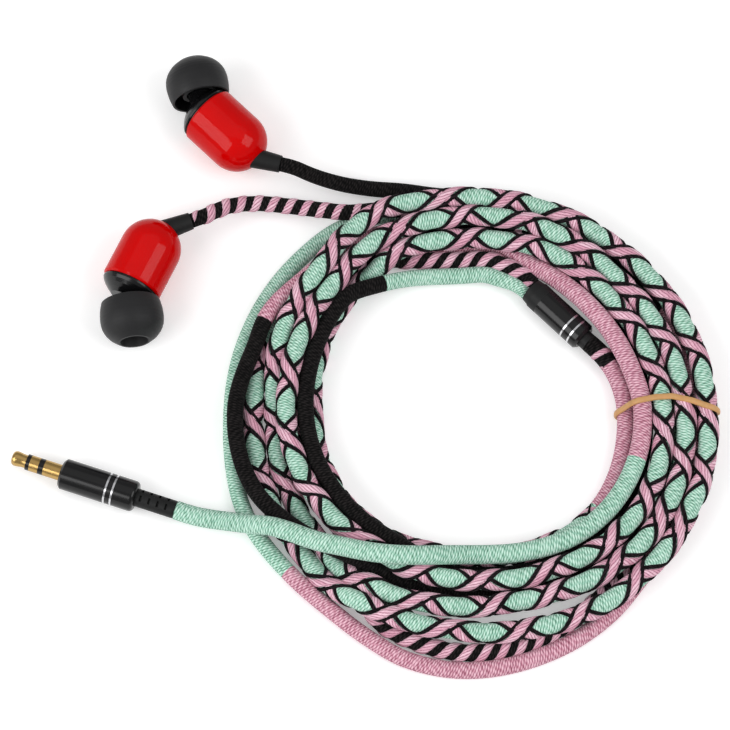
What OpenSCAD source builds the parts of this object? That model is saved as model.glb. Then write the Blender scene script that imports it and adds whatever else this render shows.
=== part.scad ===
// Wired in-ear earphones: two capsule earbuds, a wound cord in a tied hank, a splitter and a jack plug.
// Millimetres. +Z is up, the floor is z = 0, and the origin is on the floor midway between the earbuds.

/* [Earbud housing] */
// Diameter of the red housing
housing_d = 13.4; // [12.8:0.1:14]
// Length of the housing's straight part, from the centre of its round end to its front rim
housing_len = 9.4; // [9:0.1:12]
// Wall thickness of the housing
housing_wall = 0.8; // [0.6:0.05:1]
// Chamfer on the housing's front edge
housing_chamfer = 0.4; // [0.2:0.05:0.6]

/* [Front cap and nozzle] */
// Width of the dark groove between housing and cap
cap_groove = 0.35; // [0.2:0.05:0.6]
// How far the cap stands in from the housing's edge, all round
cap_step = 0.35; // [0.2:0.05:0.6]
// Height of the cap's dome
cap_h = 2.9; // [2.6:0.1:3.4]
// Depth of the ring that plugs the cap into the housing
cap_plug_depth = 1.5; // [1:0.1:2]
// Tilt of the nozzle away from the housing's axis, in degrees
nozzle_lean = 32; // [28:1:36]
// Distance from the housing's rim to the point where the nozzle's axis starts
nozzle_ahead = 1; // [0.8:0.1:1.4]
// Diameter of the nozzle's tube
nozzle_d = 5.2; // [4.8:0.1:5.6]
// Length of the nozzle from where its axis starts
nozzle_len = 8.4; // [7.8:0.1:8.8]
// Height of the lip that holds the ear tip on
nozzle_lip = 0.3; // [0.2:0.05:0.4]
// Diameter of the sound bore in the nozzle
sound_bore_d = 3.6; // [3:0.1:4]

/* [Ear tip] */
// Largest diameter of the ear tip
tip_d = 13.8; // [13.6:0.1:14.6]
// Length of the ear tip
tip_len = 9.1; // [8.6:0.1:9.8]
// Distance from the start of the nozzle's axis to the ear tip's rear rim
tip_seat = 2.95; // [2.9:0.05:3.3]
// Thickness of the ear tip's skirt
tip_wall = 0.45; // [0.35:0.05:0.5]
// Wall of the tube inside the ear tip
tip_core_wall = 0.8; // [0.6:0.1:1]
// How far the tube inside the ear tip starts behind the skirt's rim
tip_core_from = 1.2; // [1:0.1:1.6]
// Diameter of the opening at the ear tip's front
tip_hole_d = 6.2; // [5.8:0.1:6.4]

/* [Driver] */
// Diameter of the driver's frame
driver_d = 11.6; // [11:0.1:11.6]
// Height of the driver's frame
driver_h = 2.6; // [2.4:0.1:3]
// Diameter of the magnet
magnet_d = 5.2; // [4.6:0.1:5.4]
// Height of the magnet
magnet_h = 1.4; // [1.2:0.1:1.6]
// Thickness of the steel plate on the magnet
plate_h = 0.6; // [0.4:0.1:0.8]
// Thickness of the yoke's wall and floor
yoke_wall = 0.6; // [0.5:0.05:0.8]
// Thickness of the voice coil's winding
coil_wall = 0.3; // [0.2:0.05:0.35]
// Thickness of the diaphragm
diaphragm_t = 0.12; // [0.1:0.01:0.2]

/* [Cord boot] */
// Tilt of the right earbud's cord boot away from its housing's axis, in degrees
right_boot_lean = 30; // [26:1:36]
// Tilt of the left earbud's cord boot away from its housing's axis, in degrees
left_boot_lean = 44; // [38:1:46]
// Where the right boot leaves the housing's round end, in degrees from its pole
right_boot_at = 5; // [2:1:8]
// Where the left boot leaves the housing's round end, in degrees from its pole
left_boot_at = 16; // [12:1:18]
// Length of a boot outside the housing
boot_len = 4.6; // [4:0.1:5.4]
// Diameter of a boot where it meets the housing
boot_base_d = 4.8; // [4.4:0.1:5]
// Diameter of a boot's free end
boot_end_d = 3.8; // [3.4:0.1:4]
// Diameter of the boot's stem inside the housing
boot_stem_d = 2.2; // [1.8:0.1:2.6]

/* [Cord] */
// Diameter of the braided cord from the splitter to the plug
main_d = 3.7; // [3.4:0.1:3.7]
// Diameter of each earbud's cord in the hank
ear_d = 3.3; // [3:0.1:3.3]
// Diameter of an earbud's cord where it leaves its boot
lead_d = 2.9; // [2.6:0.1:3.1]
// Diameter of each cord where it enters the splitter
entry_d = 2.6; // [2.2:0.1:2.7]

/* [Splitter] */
// Diameter of the splitter
splitter_d = 6.3; // [5.8:0.1:6.5]
// Length of the splitter's barrel, with its matte end
splitter_len = 14.3; // [13.4:0.1:16]
// Length of the matte end
splitter_end_len = 2.2; // [2:0.1:3]
// Length of the tapered piece that both cords enter
join_len = 1.6; // [1.4:0.1:2.2]
// Diameter of the tapered piece's small end
join_end_d = 5.5; // [5.4:0.1:5.8]
// Length of the neck that the single cord leaves from
neck_len = 1.5; // [1:0.1:2]
// Diameter of the neck
neck_d = 4; // [3.8:0.1:4.4]

/* [Plug] */
// Diameter of the jack
jack_d = 3.5; // [3.5:0.1:3.6]
// Length of the jack that stands out of the plug
jack_len = 11.2; // [11:0.1:14]
// Length of the jack's tip contact
jack_tip_len = 3.3; // [3:0.1:3.6]
// Length of the jack's ring contact
jack_ring_len = 2; // [1.6:0.1:2.4]
// Width of the first insulating band
band_a = 0.85; // [0.6:0.05:1.1]
// Width of the second insulating band
band_b = 1.15; // [0.8:0.05:1.3]
// Diameter of the plug's barrel
barrel_d = 6.7; // [6.4:0.1:7.4]
// Length of the plug's barrel
barrel_len = 16.9; // [15:0.1:19]
// Wall of the plug's barrel
barrel_wall = 0.8; // [0.6:0.1:1]
// Length of the strain relief behind the barrel
relief_len = 8.9; // [8:0.1:10]
// Diameter of the strain relief
relief_d = 3.9; // [3.8:0.1:4.2]
// Width of a bright trim ring
trim_w = 0.4; // [0.35:0.05:0.6]
// Depth of a trim ring's groove
trim_depth = 0.25; // [0.2:0.05:0.4]

/* [Rubber band] */
// Width of the rubber band
band_w = 1.2; // [0.8:0.1:2]
// Thickness of the rubber band
band_t = 0.8; // [0.4:0.1:0.8]

/* [Hidden] */
$fn = 64;
eps = 0.01;

// Clearances between pieces
fit = 0.05;
trim_fit = 0.03;
play = 0.1;

// Where things lie: the model's origin, each earbud's round end and heading, the splitter and the plug
origin_xy = [-37.58, 36.02];
right_at = [-28.1, 49.8];
right_heading = 135.35;
left_at = [-46.6, 24.2];
left_heading = 244.9;
splitter_at = [37.25, 15.05];
splitter_heading = -45;
plug_at = [-75.2, -22.3];
plug_heading = -18.7;

// Derived sizes
housing_r = housing_d / 2;
cavity_r = housing_r - housing_wall;
cap_r = housing_r - cap_step;
cap_plug_r = cavity_r - fit;
cap_plug_wall = 0.8;
nozzle_r = nozzle_d / 2;
lip_r = nozzle_r + nozzle_lip;
lip_w = 0.8;
mesh_t = 0.3;
mesh_r = nozzle_r - 0.4;
mesh_recess = mesh_t + 0.15;
tip_r = tip_d / 2;
tip_bore_r = lip_r + fit;
tip_core_r = tip_bore_r + tip_core_wall;
tip_bore_depth = nozzle_len + fit - tip_seat;
bud_z = max(tip_r, housing_r);
driver_top = housing_len - cap_plug_depth;
driver_low = driver_top - driver_h;
driver_r = min(driver_d / 2, cavity_r - fit);
surround_r = driver_r - 0.55;
surround_h = 1.2;
yoke_top = driver_top - surround_h;
magnet_r = magnet_d / 2;
air_gap = 0.25;
coil_in_r = magnet_r + air_gap;
coil_out_r = coil_in_r + coil_wall;
yoke_in_r = coil_out_r + air_gap;
yoke_r = yoke_in_r + yoke_wall;
yoke_floor = yoke_top - play - plate_h - magnet_h;
yoke_low = yoke_floor - yoke_wall;
diaphragm_z = yoke_top + 0.4;
diaphragm_r = surround_r - play;
vent_r = 0.6;
felt_t = 0.4;
board_t = 0.8;
board_size = [5.2, 3.4];
wire_r = 0.3;
wire_pitch = 1.2;
anchor_wall = 0.75;
anchor_len = 1.6;
anchor_in = 1.3;
stem_r = boot_stem_d / 2;
splitter_r = splitter_d / 2;
splitter_bore_r = splitter_r - 0.8;
splitter_back_wall = 2;
splitter_z = splitter_r + trim_fit;
main_r = main_d / 2;
ear_r = ear_d / 2;
jack_r = jack_d / 2;
jack_pin_r = 0.6;
jack_tube_r = 1.1;
jack_shank_r = jack_r - 0.3;
jack_shank_len = 2;
barrel_r = barrel_d / 2;
barrel_bore_r = barrel_r - barrel_wall;
plug_z = barrel_r + trim_fit;
relief_stem_r = relief_d / 2 - 0.5;
relief_stem_len = 3;
relief_slots = 4;

// Ring stations along a lane, in degrees clockwise from the top: 24 a turn, closer where lanes cross
STATIONS = [4, 18, 30, 45, 60, 75, 90, 102, 118, 135, 150, 168, 186, 199, 211, 219, 229, 247, 264,
    282, 297, 314, 330, 347];
hank_at = [22.5, -12.4];
hank_rx = 33.8;
hank_ry = 31.8;

// Lanes of the three cords round the hank: turned angle, distance out from the oval, height
MAIN_LANE = [
    [74, -0.7, 2.5], [84, -0.3, 2.7], [100, 0, 2.5], [135, 1.5, 2.0], [180, 0, 2.0], [225, 0.5, 2.0],
    [270, 0, 2.0], [292, 2.0, 2.0], [315, 5.2, 2.0], [325, 5.9, 3.0], [328, 6.2, 3.7], [332, 7.0, 5.3],
    [340, 7.6, 6.3], [360, 7.6, 6.5], [383, 7.9, 6.8], [391, 7.8, 6.7], [405, 6.9, 6.5], [420, 6.6, 6.5],
    [450, 7.4, 6.5], [480, 9.0, 6.5], [495, 8.7, 6.5], [510, 7.9, 6.5], [540, 6.5, 6.5], [560, 6.0, 6.4],
    [569, 5.2, 6.4], [576, 5.0, 6.4], [586, 5.1, 6.4], [630, 5.6, 6.2], [652, 6.2, 7.6], [675, 8.0, 8.0],
    [692, 10.8, 8.8], [700, 11.2, 9.0], [720, 11.9, 8.9], [735, 12.1, 9.0], [743, 12.0, 8.4], [751, 12.0, 7.6],
    [765, 11.2, 6.5], [780, 11.1, 6.5], [810, 12.0, 6.5], [840, 13.8, 6.5], [858, 13.6, 6.5], [885, 12.0, 6.1],
    [900, 12.1, 6.0], [922, 12.5, 6.0], [929, 12.3, 6.0], [936, 12.2, 4.0], [940, 11.8, 2.9], [946, 10.2, 2.1],
    [958, 9.4, 2.0], [990, 8.1, 2.0], [1000, 8.9, 3.8], [1012, 10.4, 6.0], [1035, 12.3, 9.6], [1052, 16.0, 9.4],
    [1062, 16.6, 9.3], [1072, 16.1, 9.1], [1080, 16.2, 8.9], [1090, 16.3, 8.6], [1102, 16.6, 7.6],
    [1125, 16.6, 6.0], [1170, 16.9, 6.0], [1186, 17.7, 6.0], [1209, 18.5, 5.9], [1228, 18.9, 5.6],
    [1245, 18.2, 5.4], [1264, 17.2, 5.2], [1275, 16.9, 5.6], [1282, 16.8, 6.0], [1289, 16.6, 6.0],
    [1296, 16.4, 3.8], [1300, 16.1, 2.7], [1306, 14.8, 2.1], [1350, 12.6, 2.0], [1360, 12.9, 2.0],
    [1395, 13.2, 2.0], [1404, 13.3, 2.0], [1410, 13.3, 2.0], [1420, 10.6, 2.0], [1427, 8.8, 2.0],
    [1434, 8.3, 2.0], [1441, 8.2, 2.0], [1449, 8.2, 2.0], [1456, 6.7, 2.5], [1463, 5.0, 3.3], [1470, 3.9, 4.5],
    [1485, 2.3, 6.5], [1500, 1.9, 6.6], [1515, 2.1, 6.5], [1530, 3.0, 6.5], [1575, 3.6, 6.5], [1610, 1.2, 6.5],
    [1620, 1.0, 6.9], [1628, 1.7, 8.2], [1636, 3.3, 10.0], [1647, 5.9, 10.9], [1660, 9.2, 10.0],
    [1666, 11.7, 9.9], [1671, 13.6, 9.5]];
RIGHT_LANE = [
    [-12, 20.5, 3.6], [-8, 19.0, 4.3], [0, 17.8, 5.0], [22, 17.4, 4.0], [35, 17.0, 2.8], [45, 16.4, 2.2],
    [90, 15.4, 2.5], [102, 15.7, 2.1], [113, 16.3, 1.8], [121, 16.8, 1.8], [128, 17.3, 1.8], [138, 18.8, 1.8],
    [146, 20.6, 1.8], [160, 22.9, 1.8], [180, 24.8, 1.8], [194, 24.1, 1.8], [204, 22.0, 1.8], [215, 20.1, 1.8],
    [228, 19.4, 1.8], [245, 19.4, 1.8], [260, 18.0, 1.8], [270, 17.4, 1.8], [290, 17.8, 1.8], [315, 18.9, 1.8],
    [328, 19.4, 1.8], [345, 17.3, 1.8], [360, 15.8, 1.8], [372, 14.6, 1.8], [383, 13.6, 1.8], [395, 13.1, 1.8],
    [405, 12.5, 1.9], [450, 11.4, 2.5], [465, 11.8, 2.1], [472, 12.1, 1.9], [480, 12.7, 1.8], [495, 14.3, 1.8],
    [505, 16.3, 1.8], [520, 19.1, 1.8], [540, 21.0, 1.8], [555, 19.6, 1.8], [565, 17.0, 1.8], [569, 12.6, 1.8],
    [576, 8.2, 1.8], [586, 5.0, 1.8], [600, 4.6, 1.8], [630, 4.1, 1.8], [652, 6.0, 1.8], [675, 9.2, 1.8],
    [685, 9.5, 1.8], [690, 9.2, 1.8], [694, 8.3, 1.8], [700, 6.4, 1.8], [710, 4.7, 1.8], [718, 4.1, 2.2],
    [726, 4.2, 3.0]];
LEFT_LANE = [
    [-26, 19.2, 5.4], [-16, 16.6, 5.3], [-10, 15.8, 5.4], [-5, 15.1, 5.8], [0, 14.2, 5.7], [12, 12.8, 5.5],
    [22, 11.5, 4.8], [35, 9.7, 3.2], [45, 8.9, 2.4], [90, 7.8, 2.5], [135, 9.5, 1.8], [180, 8.0, 1.8],
    [195, 7.8, 2.2], [202, 7.8, 3.0], [209, 8.3, 4.4], [216, 8.7, 5.9], [226, 10.6, 6.3], [238, 13.5, 5.8],
    [250, 16.0, 5.6], [270, 16.5, 5.3], [287, 14.9, 5.6], [297, 15.4, 5.7], [310, 13.9, 5.8], [328, 13.3, 5.8],
    [340, 12.8, 5.3], [347, 12.3, 4.1], [352, 12.2, 2.4], [360, 12.1, 1.8], [369, 11.8, 1.8], [376, 10.5, 1.8],
    [383, 8.6, 1.8], [390, 7.1, 1.8], [396, 5.9, 1.8], [405, 4.9, 1.9], [450, 3.8, 2.5], [495, 5.5, 1.9],
    [540, 3.9, 1.8], [548, 3.6, 3.0], [556, 2.8, 4.7], [562, 2.1, 5.4], [569, 1.4, 5.7], [576, 1.2, 5.8],
    [597, 1.0, 6.0], [630, 1.4, 5.7], [652, 2.4, 6.2], [666, 3.6, 6.6], [675, 4.2, 6.4], [685, 2.7, 5.4],
    [700, 1.4, 3.2], [710, 0.6, 2.6], [718, 0.3, 2.8], [726, 0.7, 3.0]];

// Free stretches, and how the earbud cords run into the splitter
RIGHT_LEAD = [[-12.1, 42.7, 5.1], [-5.7, 41.2, 3.5], [1.1, 40.4, 2.5]];
LEFT_LEAD = [[-30, 34.9, 5.5], [-23.6, 36.2, 4.1], [-16, 35.6, 3.8], [-8.5, 34.4, 4.4]];
PLUG_LEAD = [[-19.5, -39.4, 8.4], [-24.4, -38.2, 6.2], [-29, -37, 4.4], [-33, -36.2, 3.6]];
RIGHT_ENTRY = [30.15, 21.95, 3.1];
LEFT_ENTRY = [29.4, 18.7, 3.1];
entry_pitch = 2.9;

// Places of the trim rings, measured from the front of each barrel
PLUG_RINGS = [10.3, 11.8];
SPLITTER_RINGS = [9.9, 11.9];

// The cap's outline: share of its height from the rim, share of its radius
CAP_OUTLINE = [[0, 1], [0.09, 1], [0.29, 0.94], [0.53, 0.83], [0.76, 0.69], [1, 0.51]];

// The ear tip's outline: share of its length from the rear rim, share of its radius
TIP_OUTLINE = [[0, 0.92], [0.1, 0.955], [0.2, 0.98], [0.3, 0.993], [0.42, 1], [0.51, 0.991], [0.6, 0.97],
    [0.68, 0.93], [0.75, 0.88], [0.81, 0.82], [0.87, 0.75], [0.91, 0.685], [0.95, 0.61], [1, 0.51]];
TIP_HOLLOW = [[0, 0.92], [0.1, 0.955], [0.2, 0.98], [0.3, 0.993], [0.42, 1], [0.51, 0.985], [0.6, 0.95], [0.7, 0.85]];

// ---- Geometry helpers ----

function dir(a) = [cos(a), sin(a), 0];
function unit(v) = v / norm(v);
function flat(p, z) = [p[0], p[1], z];

// Distance from the hank's centre to its oval, at an angle clockwise from the top
function oval_r(t) = hank_rx * hank_ry / sqrt(pow(hank_ry * sin(t), 2) + pow(hank_rx * cos(t), 2));

function slope(k, i, j) =
    let (lo = max(i - 1, 0), hi = min(i + 1, len(k) - 1))
    (k[hi][j] - k[lo][j]) / (k[hi][0] - k[lo][0]);

function knot(k, t, i = 0) = i >= len(k) - 2 || t < k[i + 1][0] ? i : knot(k, t, i + 1);

// Smooth value of column j of a lane at turned angle t
function lane(k, t, j) =
    let (i = knot(k, t), a = k[i], b = k[i + 1], h = b[0] - a[0], u = (t - a[0]) / h)
    (2 * pow(u, 3) - 3 * pow(u, 2) + 1) * a[j] + (pow(u, 3) - 2 * pow(u, 2) + u) * h * slope(k, i, j)
    + (3 * pow(u, 2) - 2 * pow(u, 3)) * b[j] + (pow(u, 3) - pow(u, 2)) * h * slope(k, i + 1, j);

function lane_point(k, t, r) =
    let (d = oval_r(t) + lane(k, t, 1))
    [hank_at[0] + d * sin(t), hank_at[1] + d * cos(t), max(lane(k, t, 2), r)];

function lane_start(k) = k[0][0];
function lane_end(k) = k[len(k) - 1][0];
straight = 4.5;

// A lane's ring angles: a straight first and last step, and the stations between
function lane_angles(k) = concat(
    [lane_start(k), lane_start(k) + straight],
    [for (turn = [-1:4]) for (s = STATIONS)
        if (turn * 360 + s > lane_start(k) + 2 * straight && turn * 360 + s < lane_end(k) - 2 * straight)
            turn * 360 + s],
    [lane_end(k) - straight, lane_end(k)]);

function lane_points(k, r) = [for (t = lane_angles(k)) lane_point(k, t, r)];

// Direction in which a lane starts and ends
function start_dir(k, r) = unit(lane_point(k, lane_start(k) + straight, r) - lane_point(k, lane_start(k), r));
function end_dir(k, r) = unit(lane_point(k, lane_end(k), r) - lane_point(k, lane_end(k) - straight, r));

function tangent(p, i) = unit(p[min(i + 1, len(p) - 1)] - p[max(i - 1, 0)]);

function ring(c, t, r, n) =
    let (side = unit(cross(t, [0, 0, 1])), rise = cross(side, t))
    [for (k = [0:n - 1]) c + r * (cos(360 * k / n) * side + sin(360 * k / n) * rise)];

// A round bar along the points p; r is a list of radii, one for each point
module tube(p, r, n) {
    m = len(p);
    polyhedron(
        points = [for (i = [0:m - 1]) each ring(p[i], tangent(p, i), r[i], n)],
        faces = concat(
            [for (k = [1:n - 2]) [0, k + 1, k]],
            [for (i = [0:m - 2]) for (k = [0:n - 1]) [i * n + k, i * n + (k + 1) % n, (i + 1) * n + (k + 1) % n]],
            [for (i = [0:m - 2]) for (k = [0:n - 1]) [i * n + k, (i + 1) * n + (k + 1) % n, (i + 1) * n + k]],
            [for (k = [1:n - 2]) [(m - 1) * n, (m - 1) * n + k, (m - 1) * n + k + 1]]),
        convexity = 10);
}

// Points halfway between, twice over, for measuring
function finer(p) = concat([for (i = [0:len(p) - 2]) each [p[i], (p[i] + p[i + 1]) / 2]], [p[len(p) - 1]]);

// Least gap between a coil's turns; points nearer than half a turn along the cord are left out
function least_gap(p, d) =
    let (q = finer(finer(p)), skip = 48)
    min([for (i = [0:len(q) - 1 - skip]) min([for (j = [i + skip:len(q) - 1]) norm(q[i] - q[j])])]) - d;

// ---- Where each assembly stands ----

module at_origin() {
    translate([-origin_xy[0], -origin_xy[1], 0]) children();
}

// Local +Z becomes the heading, local +Y is to its left
module lying(at, z, heading) {
    at_origin() translate([at[0], at[1], z]) rotate([0, 90, heading]) children();
}

module right_bud() {
    $lean = right_boot_lean;
    $leave = right_boot_at;
    lying(right_at, bud_z, right_heading) mirror([0, 1, 0]) children();
}

module left_bud() {
    $lean = left_boot_lean;
    $leave = left_boot_at;
    lying(left_at, bud_z, left_heading) children();
}

module on_splitter() {
    lying(splitter_at, splitter_z, splitter_heading) children();
}

module on_plug() {
    lying(plug_at, plug_z, plug_heading) children();
}

// ---- Earbud, along +Z from the centre of its round end; it leans towards +Y ----

module on_nozzle() {
    translate([0, 0, housing_len + nozzle_ahead]) rotate([-nozzle_lean, 0, 0]) children();
}

// Each earbud's own $lean is its boot's tilt, and $leave is where the boot leaves the housing
module on_boot() {
    rotate([180 + $lean, 0, 0]) translate([0, boot_side(), boot_root()]) children();
}

// The boot's axis misses the housing's centre by boot_side, and meets its surface at boot_root
function boot_side() = housing_r * sin($lean - $leave);
function boot_root() = housing_r * cos($lean - $leave);

module bud_shell() {
    color("firebrick") difference() {
        union() {
            sphere(r = housing_r);
            cylinder(h = housing_len - housing_chamfer, r = housing_r);
            translate([0, 0, housing_len - housing_chamfer])
                cylinder(h = housing_chamfer, r1 = housing_r, r2 = housing_r - housing_chamfer);
        }
        sphere(r = cavity_r);
        cylinder(h = housing_len + eps, r = cavity_r);
        on_boot() translate([0, 0, -housing_r / 2]) cylinder(h = housing_r, r = stem_r + fit);
    }
}

module bud_cap() {
    rim = housing_len + cap_groove;
    color("black") difference() {
        union() {
            translate([0, 0, driver_top]) cylinder(h = cap_plug_depth, r = cap_plug_r);
            translate([0, 0, housing_len]) cylinder(h = cap_groove + eps, r = cap_plug_r + fit + 0.1);
            rotate_extrude() polygon(concat([[0, rim]], [for (p = CAP_OUTLINE) [cap_r * p[1], rim + cap_h * p[0]]],
                [[0, rim + cap_h]]));
            on_nozzle() cylinder(h = nozzle_len, r = nozzle_r);
            on_nozzle() translate([0, 0, nozzle_len - 2 * lip_w]) cylinder(h = lip_w, r = lip_r);
        }
        translate([0, 0, driver_top - eps])
            cylinder(h = cap_plug_depth + cap_groove, r = cap_plug_r - cap_plug_wall);
        translate([0, 0, rim - 2 * eps])
            cylinder(h = 1.7, r1 = cap_plug_r - cap_plug_wall, r2 = sound_bore_d / 2);
        on_nozzle() cylinder(h = nozzle_len + eps, r = sound_bore_d / 2);
        on_nozzle() translate([0, 0, nozzle_len - mesh_recess]) cylinder(h = mesh_recess + eps, r = mesh_r + fit);
    }
}

module bud_mesh() {
    color("silver") on_nozzle() translate([0, 0, nozzle_len - mesh_recess]) cylinder(h = mesh_t, r = mesh_r);
}

module bud_tip() {
    rear = [for (p = TIP_OUTLINE) [tip_r * p[1], tip_len * p[0]]];
    hollow = [for (p = TIP_HOLLOW) [tip_r * p[1] - tip_wall, tip_len * p[0]]];
    floor_at = tip_len * 0.78;
    color("dimgray") on_nozzle() translate([0, 0, tip_seat]) difference() {
        rotate_extrude() polygon(concat([[0, 0]], rear, [[0, tip_len]]));
        rotate_extrude() polygon(concat([[0, -eps], [hollow[0][0], -eps]], hollow,
            [[tip_core_r + 0.5, floor_at], [tip_core_r, floor_at - 0.3], [tip_core_r, tip_core_from],
            [0, tip_core_from]]));
        translate([0, 0, -eps]) cylinder(h = tip_bore_depth + eps, r = tip_bore_r);
        translate([0, 0, tip_bore_depth - eps])
            cylinder(h = tip_len - tip_bore_depth + 2 * eps, r1 = tip_bore_r - 0.5, r2 = tip_hole_d / 2);
    }
}

module bud_frame() {
    color("dimgray") difference() {
        translate([0, 0, driver_low]) cylinder(h = driver_h, r = driver_r);
        translate([0, 0, driver_low - eps]) cylinder(h = driver_h + 2 * eps, r = yoke_r + fit);
        translate([0, 0, yoke_top]) cylinder(h = surround_h + eps, r = surround_r);
    }
}

module bud_yoke() {
    color("gray") difference() {
        translate([0, 0, yoke_low]) cylinder(h = yoke_top - yoke_low, r = yoke_r);
        translate([0, 0, yoke_floor]) cylinder(h = yoke_top - yoke_floor + eps, r = yoke_in_r);
        translate([0, 0, yoke_low - eps]) cylinder(h = yoke_wall + 2 * eps, r = vent_r);
    }
}

module bud_magnet() {
    color("silver") translate([0, 0, yoke_floor]) difference() {
        cylinder(h = magnet_h, r = magnet_r);
        translate([0, 0, -eps]) cylinder(h = magnet_h + 2 * eps, r = vent_r);
    }
}

module bud_plate() {
    color("gray") translate([0, 0, yoke_floor + magnet_h]) difference() {
        cylinder(h = plate_h, r = magnet_r);
        translate([0, 0, -eps]) cylinder(h = plate_h + 2 * eps, r = vent_r);
    }
}

module bud_voice_coil() {
    low = yoke_floor + 0.5;
    color("peru") translate([0, 0, low]) difference() {
        cylinder(h = diaphragm_z - low, r = coil_out_r);
        translate([0, 0, -eps]) cylinder(h = diaphragm_z - low + 2 * eps, r = coil_in_r);
    }
}

module bud_diaphragm() {
    dome = 0.5;
    color("lightgray") translate([0, 0, diaphragm_z]) rotate_extrude() polygon([
        [0, dome], [coil_in_r * 0.55, dome * 0.75], [coil_in_r * 0.9, dome * 0.2], [coil_in_r, 0], [diaphragm_r, 0],
        [diaphragm_r, diaphragm_t], [coil_in_r + 0.1, diaphragm_t], [coil_in_r * 0.9 + 0.1, dome * 0.2 + diaphragm_t],
        [coil_in_r * 0.55, dome * 0.75 + diaphragm_t], [0, dome + diaphragm_t]]);
}

module bud_felt() {
    color("gainsboro") translate([0, 0, driver_low - felt_t]) difference() {
        cylinder(h = felt_t, r = driver_r - 0.3);
        translate([0, 0, -eps]) cylinder(h = felt_t + 2 * eps, r = yoke_r + play);
    }
}

module bud_board() {
    color("darkgreen") translate([-board_size[0] / 2, -board_size[1] / 2, yoke_low - board_t])
        cube([board_size[0], board_size[1], board_t]);
}

module bud_anchor() {
    color("black") intersection() {
        on_boot() translate([0, 0, -anchor_in - anchor_len]) difference() {
            cylinder(h = anchor_len, r = stem_r + fit + anchor_wall);
            translate([0, 0, -eps]) cylinder(h = anchor_len + 2 * eps, r = stem_r + fit);
        }
        sphere(r = cavity_r - fit);
    }
}

// Two wires run from the inner end of the boot's stem to the terminal board
module bud_wires() {
    color("darkred") difference() {
        for (x = [-wire_pitch / 2, wire_pitch / 2])
            straight_wire(x);
        bud_board();
        bud_boot_solid();
    }
}

// A straight wire from the stem's end to the board, in the plane x
module straight_wire(x) {
    stem_in = boot_root() - anchor_in - anchor_len - fit;
    low_y = sin($lean) * stem_in + cos($lean) * -boot_side();
    low_z = -cos($lean) * stem_in + sin($lean) * -boot_side();
    high_z = yoke_low - board_t / 2;
    lean = atan2(-low_y, high_z - low_z);
    translate([x, low_y, low_z]) rotate([-lean, 0, 0])
        cylinder(h = norm([low_y, high_z - low_z]), r = wire_r, $fn = 16);
}

module bud_boot_solid() {
    difference() {
        on_boot() union() {
            translate([0, 0, -housing_r / 2])
                cylinder(h = housing_r / 2 + boot_len, r1 = boot_base_d / 2, r2 = boot_end_d / 2);
        }
        sphere(r = housing_r + fit / 2);
    }
    on_boot() translate([0, 0, -anchor_in - anchor_len]) cylinder(h = anchor_in + anchor_len + 1, r = stem_r);
}

module bud_boot() {
    color("black") bud_boot_solid();
}

// Direction of each boot and its tip, in the frame where the hank lies
right_out = dir(right_heading + 180 + right_boot_lean);
left_out = dir(left_heading + 180 - left_boot_lean);
right_tip = flat(right_at, bud_z) + housing_r * dir(right_heading + 180 + right_boot_at) + boot_len * right_out;
left_tip = flat(left_at, bud_z) + housing_r * dir(left_heading + 180 - left_boot_at) + boot_len * left_out;

// ---- Cords ----

// Points and radii of a lead, from its boot to its coil
function lead_points(tip, out, mid, k) =
    let (meet = lane_point(k, lane_start(k), ear_r), d = start_dir(k, ear_r))
    concat([tip, tip + lead_d * out], mid, [meet - ear_d * d, meet]);
function lead_radii(mid) = concat([lead_d / 2, lead_d / 2], [for (i = [1:len(mid)])
    (lead_d + (ear_d - lead_d) * i / len(mid)) / 2], [ear_r, ear_r]);

splitter_dir = dir(splitter_heading);
splitter_out = dir(splitter_heading + 90);
join_face = flat(splitter_at, splitter_z) - join_len * splitter_dir;
neck_face = flat(splitter_at, splitter_z) + (splitter_len + neck_len) * splitter_dir;

// A coil's points, with its way into the splitter
function coil_points(k, entry, side) =
    let (mouth = join_face + side * entry_pitch / 2 * splitter_out)
    concat(lane_points(k, ear_r), [entry, mouth - entry_d * splitter_dir, mouth]);
function coil_radii(k) = concat([for (t = lane_angles(k)) ear_r], [(ear_r + entry_d / 2) / 2, entry_d / 2, entry_d / 2]);

right_coil_points = coil_points(RIGHT_LANE, RIGHT_ENTRY, 1);
left_coil_points = coil_points(LEFT_LANE, LEFT_ENTRY, -1);
main_coil_points = concat([neck_face, neck_face + main_d * splitter_dir], lane_points(MAIN_LANE, main_r));

plug_dir = dir(plug_heading);
relief_face = flat(plug_at, plug_z) + (jack_len + barrel_len + relief_len) * plug_dir;
main_meet = lane_point(MAIN_LANE, lane_end(MAIN_LANE), main_r);
plug_lead_points = concat([main_meet, main_meet + main_d * end_dir(MAIN_LANE, main_r)], PLUG_LEAD,
    [relief_face + main_d * plug_dir, relief_face]);

module right_lead() {
    color("black") at_origin()
        tube(lead_points(right_tip, right_out, RIGHT_LEAD, RIGHT_LANE), lead_radii(RIGHT_LEAD), 8);
}

module left_lead() {
    color("palevioletred") at_origin()
        tube(lead_points(left_tip, left_out, LEFT_LEAD, LEFT_LANE), lead_radii(LEFT_LEAD), 8);
}

module right_coil() {
    color("mediumaquamarine") at_origin() tube(right_coil_points, coil_radii(RIGHT_LANE), 6);
}

module left_coil() {
    color("pink") at_origin() tube(left_coil_points, coil_radii(LEFT_LANE), 6);
}

module main_coil() {
    color("lightpink") at_origin() tube(main_coil_points, [for (p = main_coil_points) main_r], 6);
}

module plug_lead() {
    color("pink") at_origin() tube(plug_lead_points, [for (p = plug_lead_points) main_r], 8);
}

// ---- Splitter, along +Z from the end that both cords enter ----

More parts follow.
